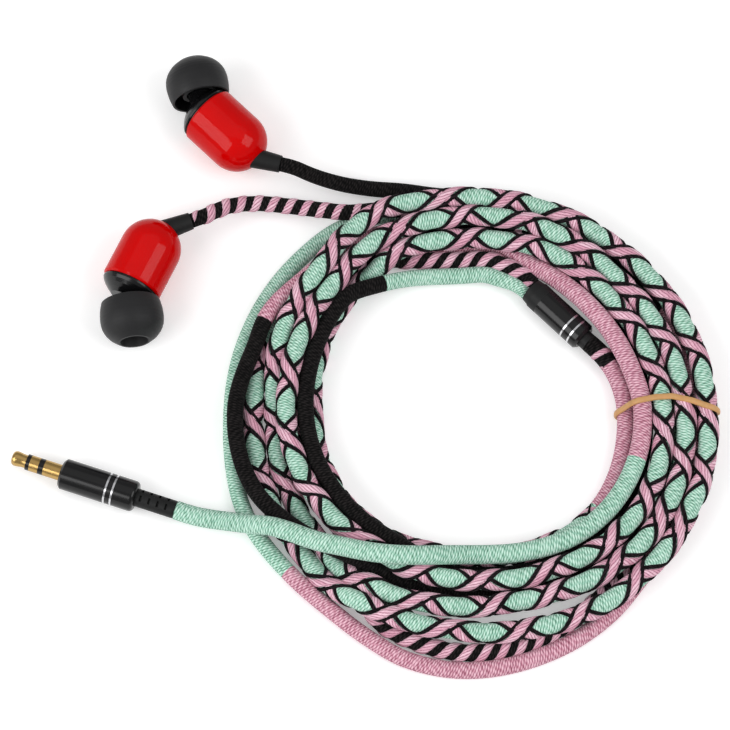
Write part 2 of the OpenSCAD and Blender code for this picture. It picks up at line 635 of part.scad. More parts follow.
module trim_ring(r) {
    difference() {
        cylinder(h = trim_w, r = r + trim_fit);
        translate([0, 0, -eps]) cylinder(h = trim_w + 2 * eps, r = r - trim_depth + trim_fit);
    }
}

module trim_groove(r) {
    translate([0, 0, -trim_fit]) difference() {
        cylinder(h = trim_w + 2 * trim_fit, r = r + 1);
        translate([0, 0, -eps]) cylinder(h = trim_w + 2 * trim_fit + 2 * eps, r = r - trim_depth);
    }
}

module splitter_join() {
    color("black") on_splitter() {
        translate([0, 0, -join_len]) cylinder(h = join_len, r1 = join_end_d / 2, r2 = splitter_r - 0.15);
        cylinder(h = splitter_end_len / 2, r = splitter_bore_r - fit);
    }
}

module splitter_end() {
    color("dimgray") on_splitter() difference() {
        cylinder(h = splitter_end_len, r = splitter_r);
        translate([0, 0, -eps]) cylinder(h = splitter_end_len + 2 * eps, r = splitter_bore_r);
    }
}

module splitter_barrel() {
    chamfer = 0.6;
    color("black") on_splitter() difference() {
        union() {
            translate([0, 0, splitter_end_len])
                cylinder(h = splitter_len - splitter_end_len - chamfer, r = splitter_r);
            translate([0, 0, splitter_len - chamfer]) cylinder(h = chamfer, r1 = splitter_r, r2 = splitter_r - chamfer);
        }
        translate([0, 0, splitter_end_len - eps])
            cylinder(h = splitter_len - splitter_end_len - 1, r = splitter_bore_r);
        translate([0, 0, splitter_len - splitter_back_wall])
            cylinder(h = splitter_back_wall + eps, r = neck_d / 2 + fit);
        for (s = SPLITTER_RINGS) translate([0, 0, s]) trim_groove(splitter_r);
    }
}

module splitter_rings() {
    color("silver") on_splitter() for (s = SPLITTER_RINGS) translate([0, 0, s]) trim_ring(splitter_r);
}

module splitter_core() {
    low = splitter_end_len / 2 + fit;
    color("ivory") on_splitter() translate([0, 0, low])
        cylinder(h = splitter_len - splitter_back_wall - 4 * fit - low, r = splitter_bore_r - fit);
}

module splitter_neck() {
    root = splitter_back_wall + 2 * fit;
    color("black") on_splitter() translate([0, 0, splitter_len - root]) cylinder(h = neck_len + root, r = neck_d / 2);
}

// ---- Plug, along +Z from the jack's tip ----

ring_at = jack_tip_len + band_a;
sleeve_at = ring_at + jack_ring_len + band_b;
barrel_end = jack_len + barrel_len;
front_wall = 1.5;
core_at = jack_len + front_wall + jack_shank_len;
core_len = barrel_len - front_wall - jack_shank_len - relief_stem_len - front_wall;

module jack_tip() {
    nose_flat_r = 0.95;
    nose_r = jack_r - 0.1;
    nose_len = 0.9;
    waist_r = jack_r - 0.3;
    waist_run = 0.8 * jack_tip_len - nose_len;
    color("gold") on_plug() union() {
        rotate_extrude() polygon(concat(
            [[0, 0]],
            [for (a = [0:18:90]) [nose_flat_r + (nose_r - nose_flat_r) * sin(a), nose_len * (1 - cos(a))]],
            [for (a = [36:36:180]) [nose_r - (nose_r - waist_r) * (1 - cos(a)) / 2, nose_len + waist_run * a / 180]],
            [[waist_r, jack_tip_len], [0, jack_tip_len]]));
        cylinder(h = jack_len + front_wall, r = jack_pin_r);
    }
}

module jack_ring() {
    color("gold") on_plug() translate([0, 0, ring_at]) difference() {
        union() {
            cylinder(h = jack_ring_len, r = jack_r);
            cylinder(h = jack_len + front_wall - ring_at, r = jack_tube_r);
        }
        translate([0, 0, -eps]) cylinder(h = jack_len + front_wall - ring_at + 2 * eps, r = jack_pin_r + fit);
    }
}

module jack_sleeve() {
    color("gold") on_plug() difference() {
        union() {
            translate([0, 0, sleeve_at]) cylinder(h = jack_len - sleeve_at, r = jack_r);
            translate([0, 0, jack_len]) cylinder(h = front_wall + jack_shank_len, r = jack_shank_r);
        }
        translate([0, 0, sleeve_at - eps])
            cylinder(h = jack_len + front_wall + jack_shank_len - sleeve_at + 2 * eps, r = jack_tube_r + fit);
    }
}

module jack_band(at, w, hole_r) {
    translate([0, 0, at]) difference() {
        cylinder(h = w, r = jack_r);
        translate([0, 0, -eps]) cylinder(h = w + 2 * eps, r = hole_r);
    }
}

module jack_insulators() {
    color("black") on_plug() {
        jack_band(jack_tip_len, band_a, jack_pin_r + fit);
        jack_band(ring_at + jack_ring_len, band_b, jack_tube_r + fit);
    }
}

module plug_core() {
    color("ivory") on_plug() translate([0, 0, core_at]) cylinder(h = core_len, r = barrel_bore_r - fit);
}

module plug_barrel() {
    chamfer = 0.5;
    back_round = 0.9;
    color("black") on_plug() difference() {
        rotate_extrude() polygon(concat(
            [[0, jack_len], [barrel_r - chamfer, jack_len], [barrel_r, jack_len + chamfer]],
            [for (a = [0:18:90]) [barrel_r - back_round * (1 - cos(a)), barrel_end - back_round * (1 - sin(a))]],
            [[0, barrel_end]]));
        translate([0, 0, jack_len - eps]) cylinder(h = front_wall + 2 * eps, r = jack_shank_r + fit);
        translate([0, 0, jack_len + front_wall]) cylinder(h = barrel_len - 2 * front_wall, r = barrel_bore_r);
        translate([0, 0, barrel_end - front_wall - eps])
            cylinder(h = front_wall + 2 * eps, r = relief_stem_r + fit);
        for (s = PLUG_RINGS) translate([0, 0, jack_len + s]) trim_groove(barrel_r);
    }
}

module plug_rings() {
    color("silver") on_plug() for (s = PLUG_RINGS) translate([0, 0, jack_len + s]) trim_ring(barrel_r);
}

// Slots in both sides, in turn, let the relief bend
module plug_relief() {
    slot_w = 0.5;
    slot_long = 1.3;
    slot_depth = 0.7;
    slot_pitch = 1.92;
    slot_turn = 164;
    slot_spread = 33;
    color("dimgray") on_plug() difference() {
        union() {
            translate([0, 0, barrel_end]) cylinder(h = relief_len - 0.4, r = relief_d / 2);
            translate([0, 0, barrel_end + relief_len - 0.4])
                cylinder(h = 0.4, r1 = relief_d / 2, r2 = relief_d / 2 - 0.1);
            translate([0, 0, barrel_end - relief_stem_len]) cylinder(h = relief_stem_len, r = relief_stem_r);
        }
        for (i = [0:relief_slots - 1]) for (side = [0, 180]) for (lean = [-slot_spread, slot_spread])
            rotate([0, 0, slot_turn + side + lean])
                translate([relief_d / 2, 0, barrel_end + (i + 0.6) * slot_pitch])
                    cube([2 * slot_depth, slot_long, slot_w], center = true);
    }
}

// ---- Rubber band round the hank's right side, an upright loop with round ends ----

band_y = hank_at[1];
band_in_r = 3.8;
band_tuck = 0.2;
band_reach = 15.9;
band_left = hank_at[0] + hank_rx - band_tuck;
band_right = hank_at[0] + hank_rx + band_reach;

module stadium(r) {
    for (x = [band_left, band_right]) translate([x, band_t + band_in_r]) circle(r = r);
    translate([band_left, band_t + band_in_r - r]) square([band_right - band_left, 2 * r]);
}

module rubber_band() {
    color("goldenrod") at_origin() translate([0, band_y + band_w / 2, 0]) rotate([90, 0, 0])
        linear_extrude(height = band_w) difference() {
            stadium(band_in_r + band_t);
            stadium(band_in_r);
        }
}

// ---- Named pieces ----

module right_shell() { right_bud() bud_shell(); }
module right_front_cap() { right_bud() bud_cap(); }
module right_nozzle_mesh() { right_bud() bud_mesh(); }
module right_ear_tip() { right_bud() bud_tip(); }
module right_driver_frame() { right_bud() bud_frame(); }
module right_yoke() { right_bud() bud_yoke(); }
module right_magnet() { right_bud() bud_magnet(); }
module right_top_plate() { right_bud() bud_plate(); }
module right_voice_coil() { right_bud() bud_voice_coil(); }
module right_diaphragm() { right_bud() bud_diaphragm(); }
module right_damping_felt() { right_bud() bud_felt(); }
module right_terminal_board() { right_bud() bud_board(); }
module right_wires() { right_bud() bud_wires(); }
module right_cord_anchor() { right_bud() bud_anchor(); }
module right_cord_boot() { right_bud() bud_boot(); }
module left_shell() { left_bud() bud_shell(); }
module left_front_cap() { left_bud() bud_cap(); }
module left_nozzle_mesh() { left_bud() bud_mesh(); }
module left_ear_tip() { left_bud() bud_tip(); }
module left_driver_frame() { left_bud() bud_frame(); }
module left_yoke() { left_bud() bud_yoke(); }
module left_magnet() { left_bud() bud_magnet(); }
module left_top_plate() { left_bud() bud_plate(); }
module left_voice_coil() { left_bud() bud_voice_coil(); }
module left_diaphragm() { left_bud() bud_diaphragm(); }
module left_damping_felt() { left_bud() bud_felt(); }
module left_terminal_board() { left_bud() bud_board(); }
module left_wires() { left_bud() bud_wires(); }
module left_cord_anchor() { left_bud() bud_anchor(); }
module left_cord_boot() { left_bud() bud_boot(); }

union() {
    echo(right_coil_gap = least_gap(right_coil_points, ear_d));
    echo(left_coil_gap = least_gap(left_coil_points, ear_d));
    echo(main_coil_gap = least_gap(main_coil_points, main_d));
}

right_shell();
right_front_cap();
right_nozzle_mesh();
right_ear_tip();
right_driver_frame();
right_yoke();
right_magnet();
right_top_plate();
right_voice_coil();
right_diaphragm();
right_damping_felt();
right_terminal_board();
right_wires();
right_cord_anchor();
right_cord_boot();
left_shell();
left_front_cap();
left_nozzle_mesh();
left_ear_tip();
left_driver_frame();
left_yoke();
left_magnet();
left_top_plate();
left_voice_coil();
left_diaphragm();
left_damping_felt();
left_terminal_board();
left_wires();
left_cord_anchor();
left_cord_boot();
right_lead();
right_coil();
left_lead();
left_coil();
main_coil();
plug_lead();
splitter_join();
splitter_end();
splitter_barrel();
splitter_rings();
splitter_core();
splitter_neck();
jack_tip();
jack_ring();
jack_sleeve();
jack_insulators();
plug_core();
plug_barrel();
plug_rings();
plug_relief();
rubber_band();
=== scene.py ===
import math

import bmesh
import bpy
import numpy as np
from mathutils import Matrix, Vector


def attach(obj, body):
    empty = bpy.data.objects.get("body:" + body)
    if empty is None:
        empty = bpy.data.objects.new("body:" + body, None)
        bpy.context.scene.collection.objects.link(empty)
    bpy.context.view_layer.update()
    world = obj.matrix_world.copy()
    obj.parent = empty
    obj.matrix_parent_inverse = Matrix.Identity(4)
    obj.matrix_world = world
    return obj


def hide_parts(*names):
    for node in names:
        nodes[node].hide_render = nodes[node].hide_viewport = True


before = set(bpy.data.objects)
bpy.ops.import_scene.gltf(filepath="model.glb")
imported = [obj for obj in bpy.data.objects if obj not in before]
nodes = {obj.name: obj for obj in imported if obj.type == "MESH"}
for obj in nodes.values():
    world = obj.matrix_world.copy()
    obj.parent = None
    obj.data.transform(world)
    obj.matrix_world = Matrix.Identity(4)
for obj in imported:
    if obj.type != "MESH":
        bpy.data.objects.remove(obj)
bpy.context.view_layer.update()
scene = bpy.context.scene
scene.view_settings.view_transform = "Standard"
MM = 0.001

# ---------------------------------------------------------------- camera


def aim(thing, place, target):
    thing.location = place
    thing.rotation_euler = (Vector(target) - Vector(place)).to_track_quat("-Z", "Y").to_euler()


def linked(name, data):
    thing = bpy.data.objects.new(name, data)
    scene.collection.objects.link(thing)
    return thing


CAMERA_ANGLE = 11.28
CAMERA_AT, CAMERA_TARGET = (0.03758, -0.31619, 0.74934), (0.03758, -0.03602, 0)

lens = bpy.data.cameras.new("camera")
lens.sensor_fit = "HORIZONTAL"
lens.angle = math.radians(CAMERA_ANGLE)
camera = linked("camera", lens)
aim(camera, CAMERA_AT, CAMERA_TARGET)
scene.camera = camera

# ---------------------------------------------------------------- cord routes
# In millimetres, with the same numbers as in the part's source

ORIGIN = np.array([-37.58, 36.02, 0])
HANK = (22.5, -12.4)
HANK_RX, HANK_RY = 33.8, 31.8
MAIN_D, EAR_D, LEAD_D, ENTRY_D = 3.7, 3.3, 2.9, 2.6
# Each row of a lane: angle turned clockwise from the top in degrees, distance out from the oval, height
MAIN_LANE = (
    (74, -0.7, 2.5), (84, -0.3, 2.7), (100, 0, 2.5), (135, 1.5, 2.0), (180, 0, 2.0), (225, 0.5, 2.0),
    (270, 0, 2.0), (292, 2.0, 2.0), (315, 5.2, 2.0), (325, 5.9, 3.0), (328, 6.2, 3.7), (332, 7.0, 5.3),
    (340, 7.6, 6.3), (360, 7.6, 6.5), (383, 7.9, 6.8), (391, 7.8, 6.7), (405, 6.9, 6.5),
    (420, 6.6, 6.5), (450, 7.4, 6.5), (480, 9.0, 6.5), (495, 8.7, 6.5), (510, 7.9, 6.5),
    (540, 6.5, 6.5), (560, 6.0, 6.4), (569, 5.2, 6.4), (576, 5.0, 6.4), (586, 5.1, 6.4),
    (630, 5.6, 6.2), (652, 6.2, 7.6), (675, 8.0, 8.0), (692, 10.8, 8.8), (700, 11.2, 9.0),
    (720, 11.9, 8.9), (735, 12.1, 9.0), (743, 12.0, 8.4), (751, 12.0, 7.6), (765, 11.2, 6.5),
    (780, 11.1, 6.5), (810, 12.0, 6.5), (840, 13.8, 6.5), (858, 13.6, 6.5), (885, 12.0, 6.1),
    (900, 12.1, 6.0), (922, 12.5, 6.0), (929, 12.3, 6.0), (936, 12.2, 4.0), (940, 11.8, 2.9),
    (946, 10.2, 2.1), (958, 9.4, 2.0), (990, 8.1, 2.0), (1000, 8.9, 3.8), (1012, 10.4, 6.0),
    (1035, 12.3, 9.6), (1052, 16.0, 9.4), (1062, 16.6, 9.3), (1072, 16.1, 9.1), (1080, 16.2, 8.9),
    (1090, 16.3, 8.6), (1102, 16.6, 7.6), (1125, 16.6, 6.0), (1170, 16.9, 6.0), (1186, 17.7, 6.0),
    (1209, 18.5, 5.9), (1228, 18.9, 5.6), (1245, 18.2, 5.4), (1264, 17.2, 5.2), (1275, 16.9, 5.6),
    (1282, 16.8, 6.0), (1289, 16.6, 6.0), (1296, 16.4, 3.8), (1300, 16.1, 2.7), (1306, 14.8, 2.1),
    (1350, 12.6, 2.0), (1360, 12.9, 2.0), (1395, 13.2, 2.0), (1404, 13.3, 2.0), (1410, 13.3, 2.0),
    (1420, 10.6, 2.0), (1427, 8.8, 2.0), (1434, 8.3, 2.0), (1441, 8.2, 2.0), (1449, 8.2, 2.0),
    (1456, 6.7, 2.5), (1463, 5.0, 3.3), (1470, 3.9, 4.5), (1485, 2.3, 6.5), (1500, 1.9, 6.6),
    (1515, 2.1, 6.5), (1530, 3.0, 6.5), (1575, 3.6, 6.5), (1610, 1.2, 6.5), (1620, 1.0, 6.9),
    (1628, 1.7, 8.2), (1636, 3.3, 10.0), (1647, 5.9, 10.9), (1660, 9.2, 10.0), (1666, 11.7, 9.9),
    (1671, 13.6, 9.5))
RIGHT_LANE = (
    (-12, 20.5, 3.6), (-8, 19.0, 4.3), (0, 17.8, 5.0), (22, 17.4, 4.0), (35, 17.0, 2.8),
    (45, 16.4, 2.2), (90, 15.4, 2.5), (102, 15.7, 2.1), (113, 16.3, 1.8), (121, 16.8, 1.8),
    (128, 17.3, 1.8), (138, 18.8, 1.8), (146, 20.6, 1.8), (160, 22.9, 1.8), (180, 24.8, 1.8),
    (194, 24.1, 1.8), (204, 22.0, 1.8), (215, 20.1, 1.8), (228, 19.4, 1.8), (245, 19.4, 1.8),
    (260, 18.0, 1.8), (270, 17.4, 1.8), (290, 17.8, 1.8), (315, 18.9, 1.8), (328, 19.4, 1.8),
    (345, 17.3, 1.8), (360, 15.8, 1.8), (372, 14.6, 1.8), (383, 13.6, 1.8), (395, 13.1, 1.8),
    (405, 12.5, 1.9), (450, 11.4, 2.5), (465, 11.8, 2.1), (472, 12.1, 1.9), (480, 12.7, 1.8),
    (495, 14.3, 1.8), (505, 16.3, 1.8), (520, 19.1, 1.8), (540, 21.0, 1.8), (555, 19.6, 1.8),
    (565, 17.0, 1.8), (569, 12.6, 1.8), (576, 8.2, 1.8), (586, 5.0, 1.8), (600, 4.6, 1.8),
    (630, 4.1, 1.8), (652, 6.0, 1.8), (675, 9.2, 1.8), (685, 9.5, 1.8), (690, 9.2, 1.8),
    (694, 8.3, 1.8), (700, 6.4, 1.8), (710, 4.7, 1.8), (718, 4.1, 2.2), (726, 4.2, 3.0))
LEFT_LANE = (
    (-26, 19.2, 5.4), (-16, 16.6, 5.3), (-10, 15.8, 5.4), (-5, 15.1, 5.8), (0, 14.2, 5.7),
    (12, 12.8, 5.5), (22, 11.5, 4.8), (35, 9.7, 3.2), (45, 8.9, 2.4), (90, 7.8, 2.5), (135, 9.5, 1.8),
    (180, 8.0, 1.8), (195, 7.8, 2.2), (202, 7.8, 3.0), (209, 8.3, 4.4), (216, 8.7, 5.9),
    (226, 10.6, 6.3), (238, 13.5, 5.8), (250, 16.0, 5.6), (270, 16.5, 5.3), (287, 14.9, 5.6),
    (297, 15.4, 5.7), (310, 13.9, 5.8), (328, 13.3, 5.8), (340, 12.8, 5.3), (347, 12.3, 4.1),
    (352, 12.2, 2.4), (360, 12.1, 1.8), (369, 11.8, 1.8), (376, 10.5, 1.8), (383, 8.6, 1.8),
    (390, 7.1, 1.8), (396, 5.9, 1.8), (405, 4.9, 1.9), (450, 3.8, 2.5), (495, 5.5, 1.9),
    (540, 3.9, 1.8), (548, 3.6, 3.0), (556, 2.8, 4.7), (562, 2.1, 5.4), (569, 1.4, 5.7),
    (576, 1.2, 5.8), (597, 1.0, 6.0), (630, 1.4, 5.7), (652, 2.4, 6.2), (666, 3.6, 6.6),
    (675, 4.2, 6.4), (685, 2.7, 5.4), (700, 1.4, 3.2), (710, 0.6, 2.6), (718, 0.3, 2.8),
    (726, 0.7, 3.0))
# Points between a lane and the piece at the cord's end
RIGHT_LEAD = ((-12.1, 42.7, 5.1), (-5.7, 41.2, 3.5), (1.1, 40.4, 2.5))
LEFT_LEAD = ((-30, 34.9, 5.5), (-23.6, 36.2, 4.1), (-16, 35.6, 3.8), (-8.5, 34.4, 4.4))
PLUG_LEAD = ((-19.5, -39.4, 8.4), (-24.4, -38.2, 6.2), (-29, -37, 4.4), (-33, -36.2, 3.6))
HOUSING_R, BUD_Z = 6.7, 6.9
RIGHT_AT, RIGHT_HEADING = (-28.1, 49.8), 135.35
LEFT_AT, LEFT_HEADING = (-46.6, 24.2), 244.9
RIGHT_LEAN, RIGHT_LEAVE = 30, 5
LEFT_LEAN, LEFT_LEAVE = 44, 16
BOOT_LONG = 4.6
SPLITTER_AT, SPLITTER_HEADING, SPLITTER_Z = (37.25, 15.05), -45, 3.18
SPLITTER_LONG, JOIN_LONG, NECK_LONG = 14.3, 1.6, 1.5
PLUG_AT, PLUG_HEADING, PLUG_Z = (-75.2, -22.3), -18.7, 3.38
JACK_LONG, BARREL_LONG, RELIEF_LONG = 11.2, 16.9, 8.9
ENTRY_PITCH = 2.9
LEAVE_TURN = 4.5        # turned angle over which a lane's end direction is read
RIGHT_ENTRY, LEFT_ENTRY = (30.15, 21.95, 3.1), (29.4, 18.7, 3.1)


def heading(a):
    return np.array([math.cos(math.radians(a)), math.sin(math.radians(a)), 0])


def flat(p, z):
    return np.array([p[0], p[1], z])


def unit(v):
    return v / np.linalg.norm(v, axis=-1, keepdims=True)


def lane_value(lane, t, j):
    """Smooth value of column j of a lane at turned angle t."""
    i = max(0, min(len(lane) - 2, sum(row[0] <= t for row in lane) - 1))

    def slope(n):
        lo, hi = lane[max(n - 1, 0)], lane[min(n + 1, len(lane) - 1)]
        return (hi[j] - lo[j]) / (hi[0] - lo[0])

    a, b = lane[i], lane[i + 1]
    h = b[0] - a[0]
    u = (t - a[0]) / h
    return ((2 * u**3 - 3 * u**2 + 1) * a[j] + (u**3 - 2 * u**2 + u) * h * slope(i)
            + (3 * u**2 - 2 * u**3) * b[j] + (u**3 - u**2) * h * slope(i + 1))


def lane_point(lane, t, r):
    """Point of a lane at turned angle t, for a cord of radius r that stays above the floor."""
    s, c = math.sin(math.radians(t)), math.cos(math.radians(t))
    d = HANK_RX * HANK_RY / math.hypot(HANK_RY * s, HANK_RX * c) + lane_value(lane, t, 1)
    return np.array([HANK[0] + d * s, HANK[1] + d * c, max(lane_value(lane, t, 2), r)])


def lane_run(lane, r, step=2.5):
    """Points along a lane, each with its turned angle."""
    a, b = lane[0][0], lane[-1][0]
    return [(*lane_point(lane, t, r), t) for t in np.linspace(a, b, int((b - a) / step) + 1)]


def loose(points, mark):
    """Points outside a lane, all with the same turned angle."""
    return [(*p, mark) for p in points]


def boot_tip(at, backwards, lean, leave):
    """Where the cord leaves an earbud's boot, and in which direction."""
    out = heading(backwards + lean)
    return flat(at, BUD_Z) + HOUSING_R * heading(backwards + leave) + BOOT_LONG * out, out


ROUTE_PASSES = 4        # how many times a route's points are averaged


def smooth_route(knots, step=0.5):
    """One smooth centreline through the knots, evenly spaced; the last column is the turned angle."""
    p = np.array(knots, float)
    for _ in range(2):
        d = np.concatenate([[0], np.cumsum(np.linalg.norm(np.diff(p[:, :3], axis=0), axis=1))])
        m = np.gradient(p, d, axis=0)
        s = np.linspace(0, d[-1], int(d[-1] / step) + 1)
        i = np.clip(np.searchsorted(d, s, "right") - 1, 0, len(d) - 2)
        h = (d[i + 1] - d[i])[:, None]
        u = ((s - d[i]) / h[:, 0])[:, None]
        p = ((2 * u**3 - 3 * u**2 + 1) * p[i] + (u**3 - 2 * u**2 + u) * h * m[i]
             + (3 * u**2 - 2 * u**3) * p[i + 1] + (u**3 - u**2) * h * m[i + 1])
        for _ in range(ROUTE_PASSES):
            p[1:-1] = (p[:-2] + 2 * p[1:-1] + p[2:]) / 4
    return p


class Cord:
    """A centreline in metres with its run, turned angle and frame: side lies flat, rise points up."""

    def __init__(self, knots):
        p = smooth_route(knots)
        self.angle = p[:, 3]
        self.points = (p[:, :3] - ORIGIN) * MM
        steps = np.linalg.norm(np.diff(self.points, axis=0), axis=1)
        self.run = np.concatenate([[0], np.cumsum(steps)])
        self.along = unit(np.gradient(self.points, axis=0))
        self.side = unit(np.cross(self.along, [0, 0, 1]))
        self.rise = np.cross(self.side, self.along)
        self.length = self.run[-1]

    def at(self, values, runs):
        """One or more columns of values, read at these runs."""
        values = np.asarray(values, float)
        if values.ndim == 1:
            return np.interp(runs, self.run, values)
        return np.stack([np.interp(runs, self.run, values[:, k]) for k in range(values.shape[1])], 1)

    def run_at(self, angle):
        return float(np.interp(angle, self.angle, self.run))


splitter_dir, splitter_left = heading(SPLITTER_HEADING), heading(SPLITTER_HEADING + 90)
join_face = flat(SPLITTER_AT, SPLITTER_Z) - JOIN_LONG * splitter_dir
neck_face = flat(SPLITTER_AT, SPLITTER_Z) + (SPLITTER_LONG + NECK_LONG) * splitter_dir
plug_dir = heading(PLUG_HEADING)
relief_face = flat(PLUG_AT, PLUG_Z) + (JACK_LONG + BARREL_LONG + RELIEF_LONG) * plug_dir


def ear_knots(tip, out, lead, lane, entry, side):
    """The route from an earbud's boot to the splitter; side is 1 or -1 of the splitter's middle."""
    meet = lane_point(lane, lane[0][0], EAR_D / 2)
    mouth = join_face + side * ENTRY_PITCH / 2 * splitter_left
    start = unit(lane_point(lane, lane[0][0] + LEAVE_TURN, EAR_D / 2) - meet)
    return (loose([tip, tip + LEAD_D * out, *lead, meet - EAR_D * start], lane[0][0] - 1)
            + lane_run(lane, EAR_D / 2)
            + loose([entry, mouth - ENTRY_D * splitter_dir, mouth], lane[-1][0] + 1))


def main_knots():
    """The route from the splitter's neck to the plug."""
    lane = MAIN_LANE
    last, before = (lane_point(lane, lane[-1][0] - a, MAIN_D / 2) for a in (0, LEAVE_TURN))
    return (loose([neck_face, neck_face + MAIN_D * splitter_dir], lane[0][0] - 1)
            + lane_run(lane, MAIN_D / 2)
            + loose([last + MAIN_D * unit(last - before), *PLUG_LEAD, relief_face + MAIN_D * plug_dir,
                     relief_face], lane[-1][0] + 1))


right_tip, right_out = boot_tip(RIGHT_AT, RIGHT_HEADING + 180, RIGHT_LEAN, RIGHT_LEAVE)
left_tip, left_out = boot_tip(LEFT_AT, LEFT_HEADING + 180, -LEFT_LEAN, -LEFT_LEAVE)
right_cord = Cord(ear_knots(right_tip, right_out, RIGHT_LEAD, RIGHT_LANE, RIGHT_ENTRY, 1))
left_cord = Cord(ear_knots(left_tip, left_out, LEFT_LEAD, LEFT_LANE, LEFT_ENTRY, -1))
main_cord = Cord(main_knots())

# ---------------------------------------------------------------- helpers for node trees


def put(tree, node, place, value):
    if isinstance(value, bpy.types.NodeSocket):
        tree.links.new(value, node.inputs[place])
    elif value is not None:
        node.inputs[place].default_value = value


def node_of(tree, kind, *values, **settings):
    node = tree.nodes.new(kind)
    for key, value in settings.items():
        setattr(node, key, value)
    for place, value in enumerate(values):
        put(tree, node, place, value)
    return node


def calc(tree, operation, *values):
    return node_of(tree, "ShaderNodeMath", *values, operation=operation).outputs[0]


def plus(tree, a, b):
    return calc(tree, "ADD", a, b)


def minus(tree, a, b):
    return calc(tree, "SUBTRACT", a, b)


def times(tree, a, b):
    return calc(tree, "MULTIPLY", a, b)


def vcalc(tree, operation, *values):
    node = tree.nodes.new("ShaderNodeVectorMath")
    node.operation = operation
    places = [0, 3] if operation == "SCALE" else range(len(values))
    for place, value in zip(places, values):
        put(tree, node, place, value)
    return node.outputs[1 if operation in ("DOT_PRODUCT", "LENGTH") else 0]


def socket(tree, name, kind, value=None, out=False):
    way = "OUTPUT" if out else "INPUT"
    made = tree.interface.new_socket(name, in_out=way, socket_type="NodeSocket" + kind)
    if value is not None:
        made.default_value = value
    return made


# ---------------------------------------------------------------- materials


def tint(*screen):
    """A colour written in 0 to 255 screen values."""
    linear = [c / 255 / 12.92 if c <= 10.31 else ((c / 255 + 0.055) / 1.055) ** 2.4 for c in screen]
    return (*linear, 1)


def thread_group():
    """Thread laid side by side: a ridge for each thread, beads for its twist, and a tone for both that
    paints shade into the grooves and highlights onto ridges and beads, with random fibre and thread
    tone.
    """
    t = bpy.data.node_groups.new("thread_lay", "ShaderNodeTree")
    for name, kind, value in (("UV", "Vector", None), ("Thread", "Float", 0.0006),
                              ("Starts", "Float", -8), ("Beads", "Float", 9), ("Lean", "Float", 0.8),
                              ("Fibre", "Vector", (2600.0, 9.0, 1.0))):
        socket(t, name, kind, value)
    for name in ("Height", "Shade_And_Tone"):
        socket(t, name, "Float", out=True)
    i, o = t.nodes.new("NodeGroupInput"), t.nodes.new("NodeGroupOutput")
    wander_scale, wander_share = (700.0, 6.0, 1.0), 0.55
    groove, bead_share = 0.98, 0.45
    fibre_height, fibre_tone, thread_tone = 0.25, 0.9, 0.16
    uv = node_of(t, "ShaderNodeSeparateXYZ", i.outputs["UV"])
    count = plus(t, calc(t, "DIVIDE", uv.outputs[0], i.outputs["Thread"]),
                 times(t, uv.outputs[1], i.outputs["Starts"]))
    spot = vcalc(t, "MULTIPLY", i.outputs["UV"], wander_scale)
    wander = node_of(t, "ShaderNodeTexNoise", spot, None, 1.0, 2.0)
    count = plus(t, count, times(t, minus(t, wander.outputs[0], 0.5), wander_share))
    place = calc(t, "FRACT", count)
    across = calc(t, "ABSOLUTE", minus(t, times(t, place, 2.0), 1.0))
    ridge = calc(t, "SQRT", minus(t, 1.0, times(t, times(t, across, across), groove)))
    whole = calc(t, "FLOOR", count)
    pick = node_of(t, "ShaderNodeTexWhiteNoise", None, whole, noise_dimensions="1D").outputs[0]
    phase = plus(t, times(t, uv.outputs[1], i.outputs["Beads"]),
                 plus(t, times(t, place, i.outputs["Lean"]), pick))
    bead = plus(t, times(t, calc(t, "SINE", times(t, phase, 2 * math.pi)), 0.5), 0.5)
    spot = vcalc(t, "MULTIPLY", i.outputs["UV"], i.outputs["Fibre"])
    fibre = node_of(t, "ShaderNodeTexNoise", spot, None, 1.0, 3.0, 0.6).outputs[0]
    body = times(t, ridge, plus(t, times(t, bead, bead_share), 1 - bead_share))
    t.links.new(plus(t, body, times(t, fibre, fibre_height)), o.inputs["Height"])
    # Painted light: this tone is dark in the grooves and bright on ridges and beads; fibre and
    # per-thread noise add real tone.
    tone = plus(t, body, times(t, minus(t, fibre, 0.5), fibre_tone))
    t.links.new(plus(t, tone, times(t, minus(t, pick, 0.5), thread_tone)), o.inputs["Shade_And_Tone"])
    return t


def grain_group():
    """Fine moulded grain with broad handling marks."""
    t = bpy.data.node_groups.new("surface_grain", "ShaderNodeTree")
    for name, kind, value in (("Place", "Vector", None), ("Grain", "Float", 4000.0),
                              ("Marks", "Float", 160.0)):
        socket(t, name, kind, value)
    for name in ("Height", "Wear"):
        socket(t, name, "Float", out=True)
    i, o = t.nodes.new("NodeGroupInput"), t.nodes.new("NodeGroupOutput")
    fine = node_of(t, "ShaderNodeTexNoise", i.outputs["Place"], None, i.outputs["Grain"], 2.0, 0.5)
    broad = node_of(t, "ShaderNodeTexNoise", i.outputs["Place"], None, i.outputs["Marks"], 4.0, 0.62)
    t.links.new(fine.outputs[0], o.inputs["Height"])
    t.links.new(broad.outputs[0], o.inputs["Wear"])
    return t


THREAD, GRAIN = thread_group(), grain_group()


def material(name, colour, **sockets):
    """A material with its shader, and the sockets that are the same all over set on it."""
    m = bpy.data.materials.new(name)
    m.use_nodes = True
    t = m.node_tree
    t.nodes.clear()
    shader, out = t.nodes.new("ShaderNodeBsdfPrincipled"), t.nodes.new("ShaderNodeOutputMaterial")
    t.links.new(shader.outputs[0], out.inputs[0])
    shader.inputs["Base Color"].default_value = colour
    for key, value in sockets.items():
        shader.inputs[key.replace("_", " ")].default_value = value
    m.diffuse_color = colour
    return m, t, shader


def blend_tones(t, factor, low, high):
    mix = node_of(t, "ShaderNodeMix", data_type="RGBA")
    put(t, mix, 0, factor)
    put(t, mix, 6, low)
    put(t, mix, 7, high)
    return mix.outputs[2]


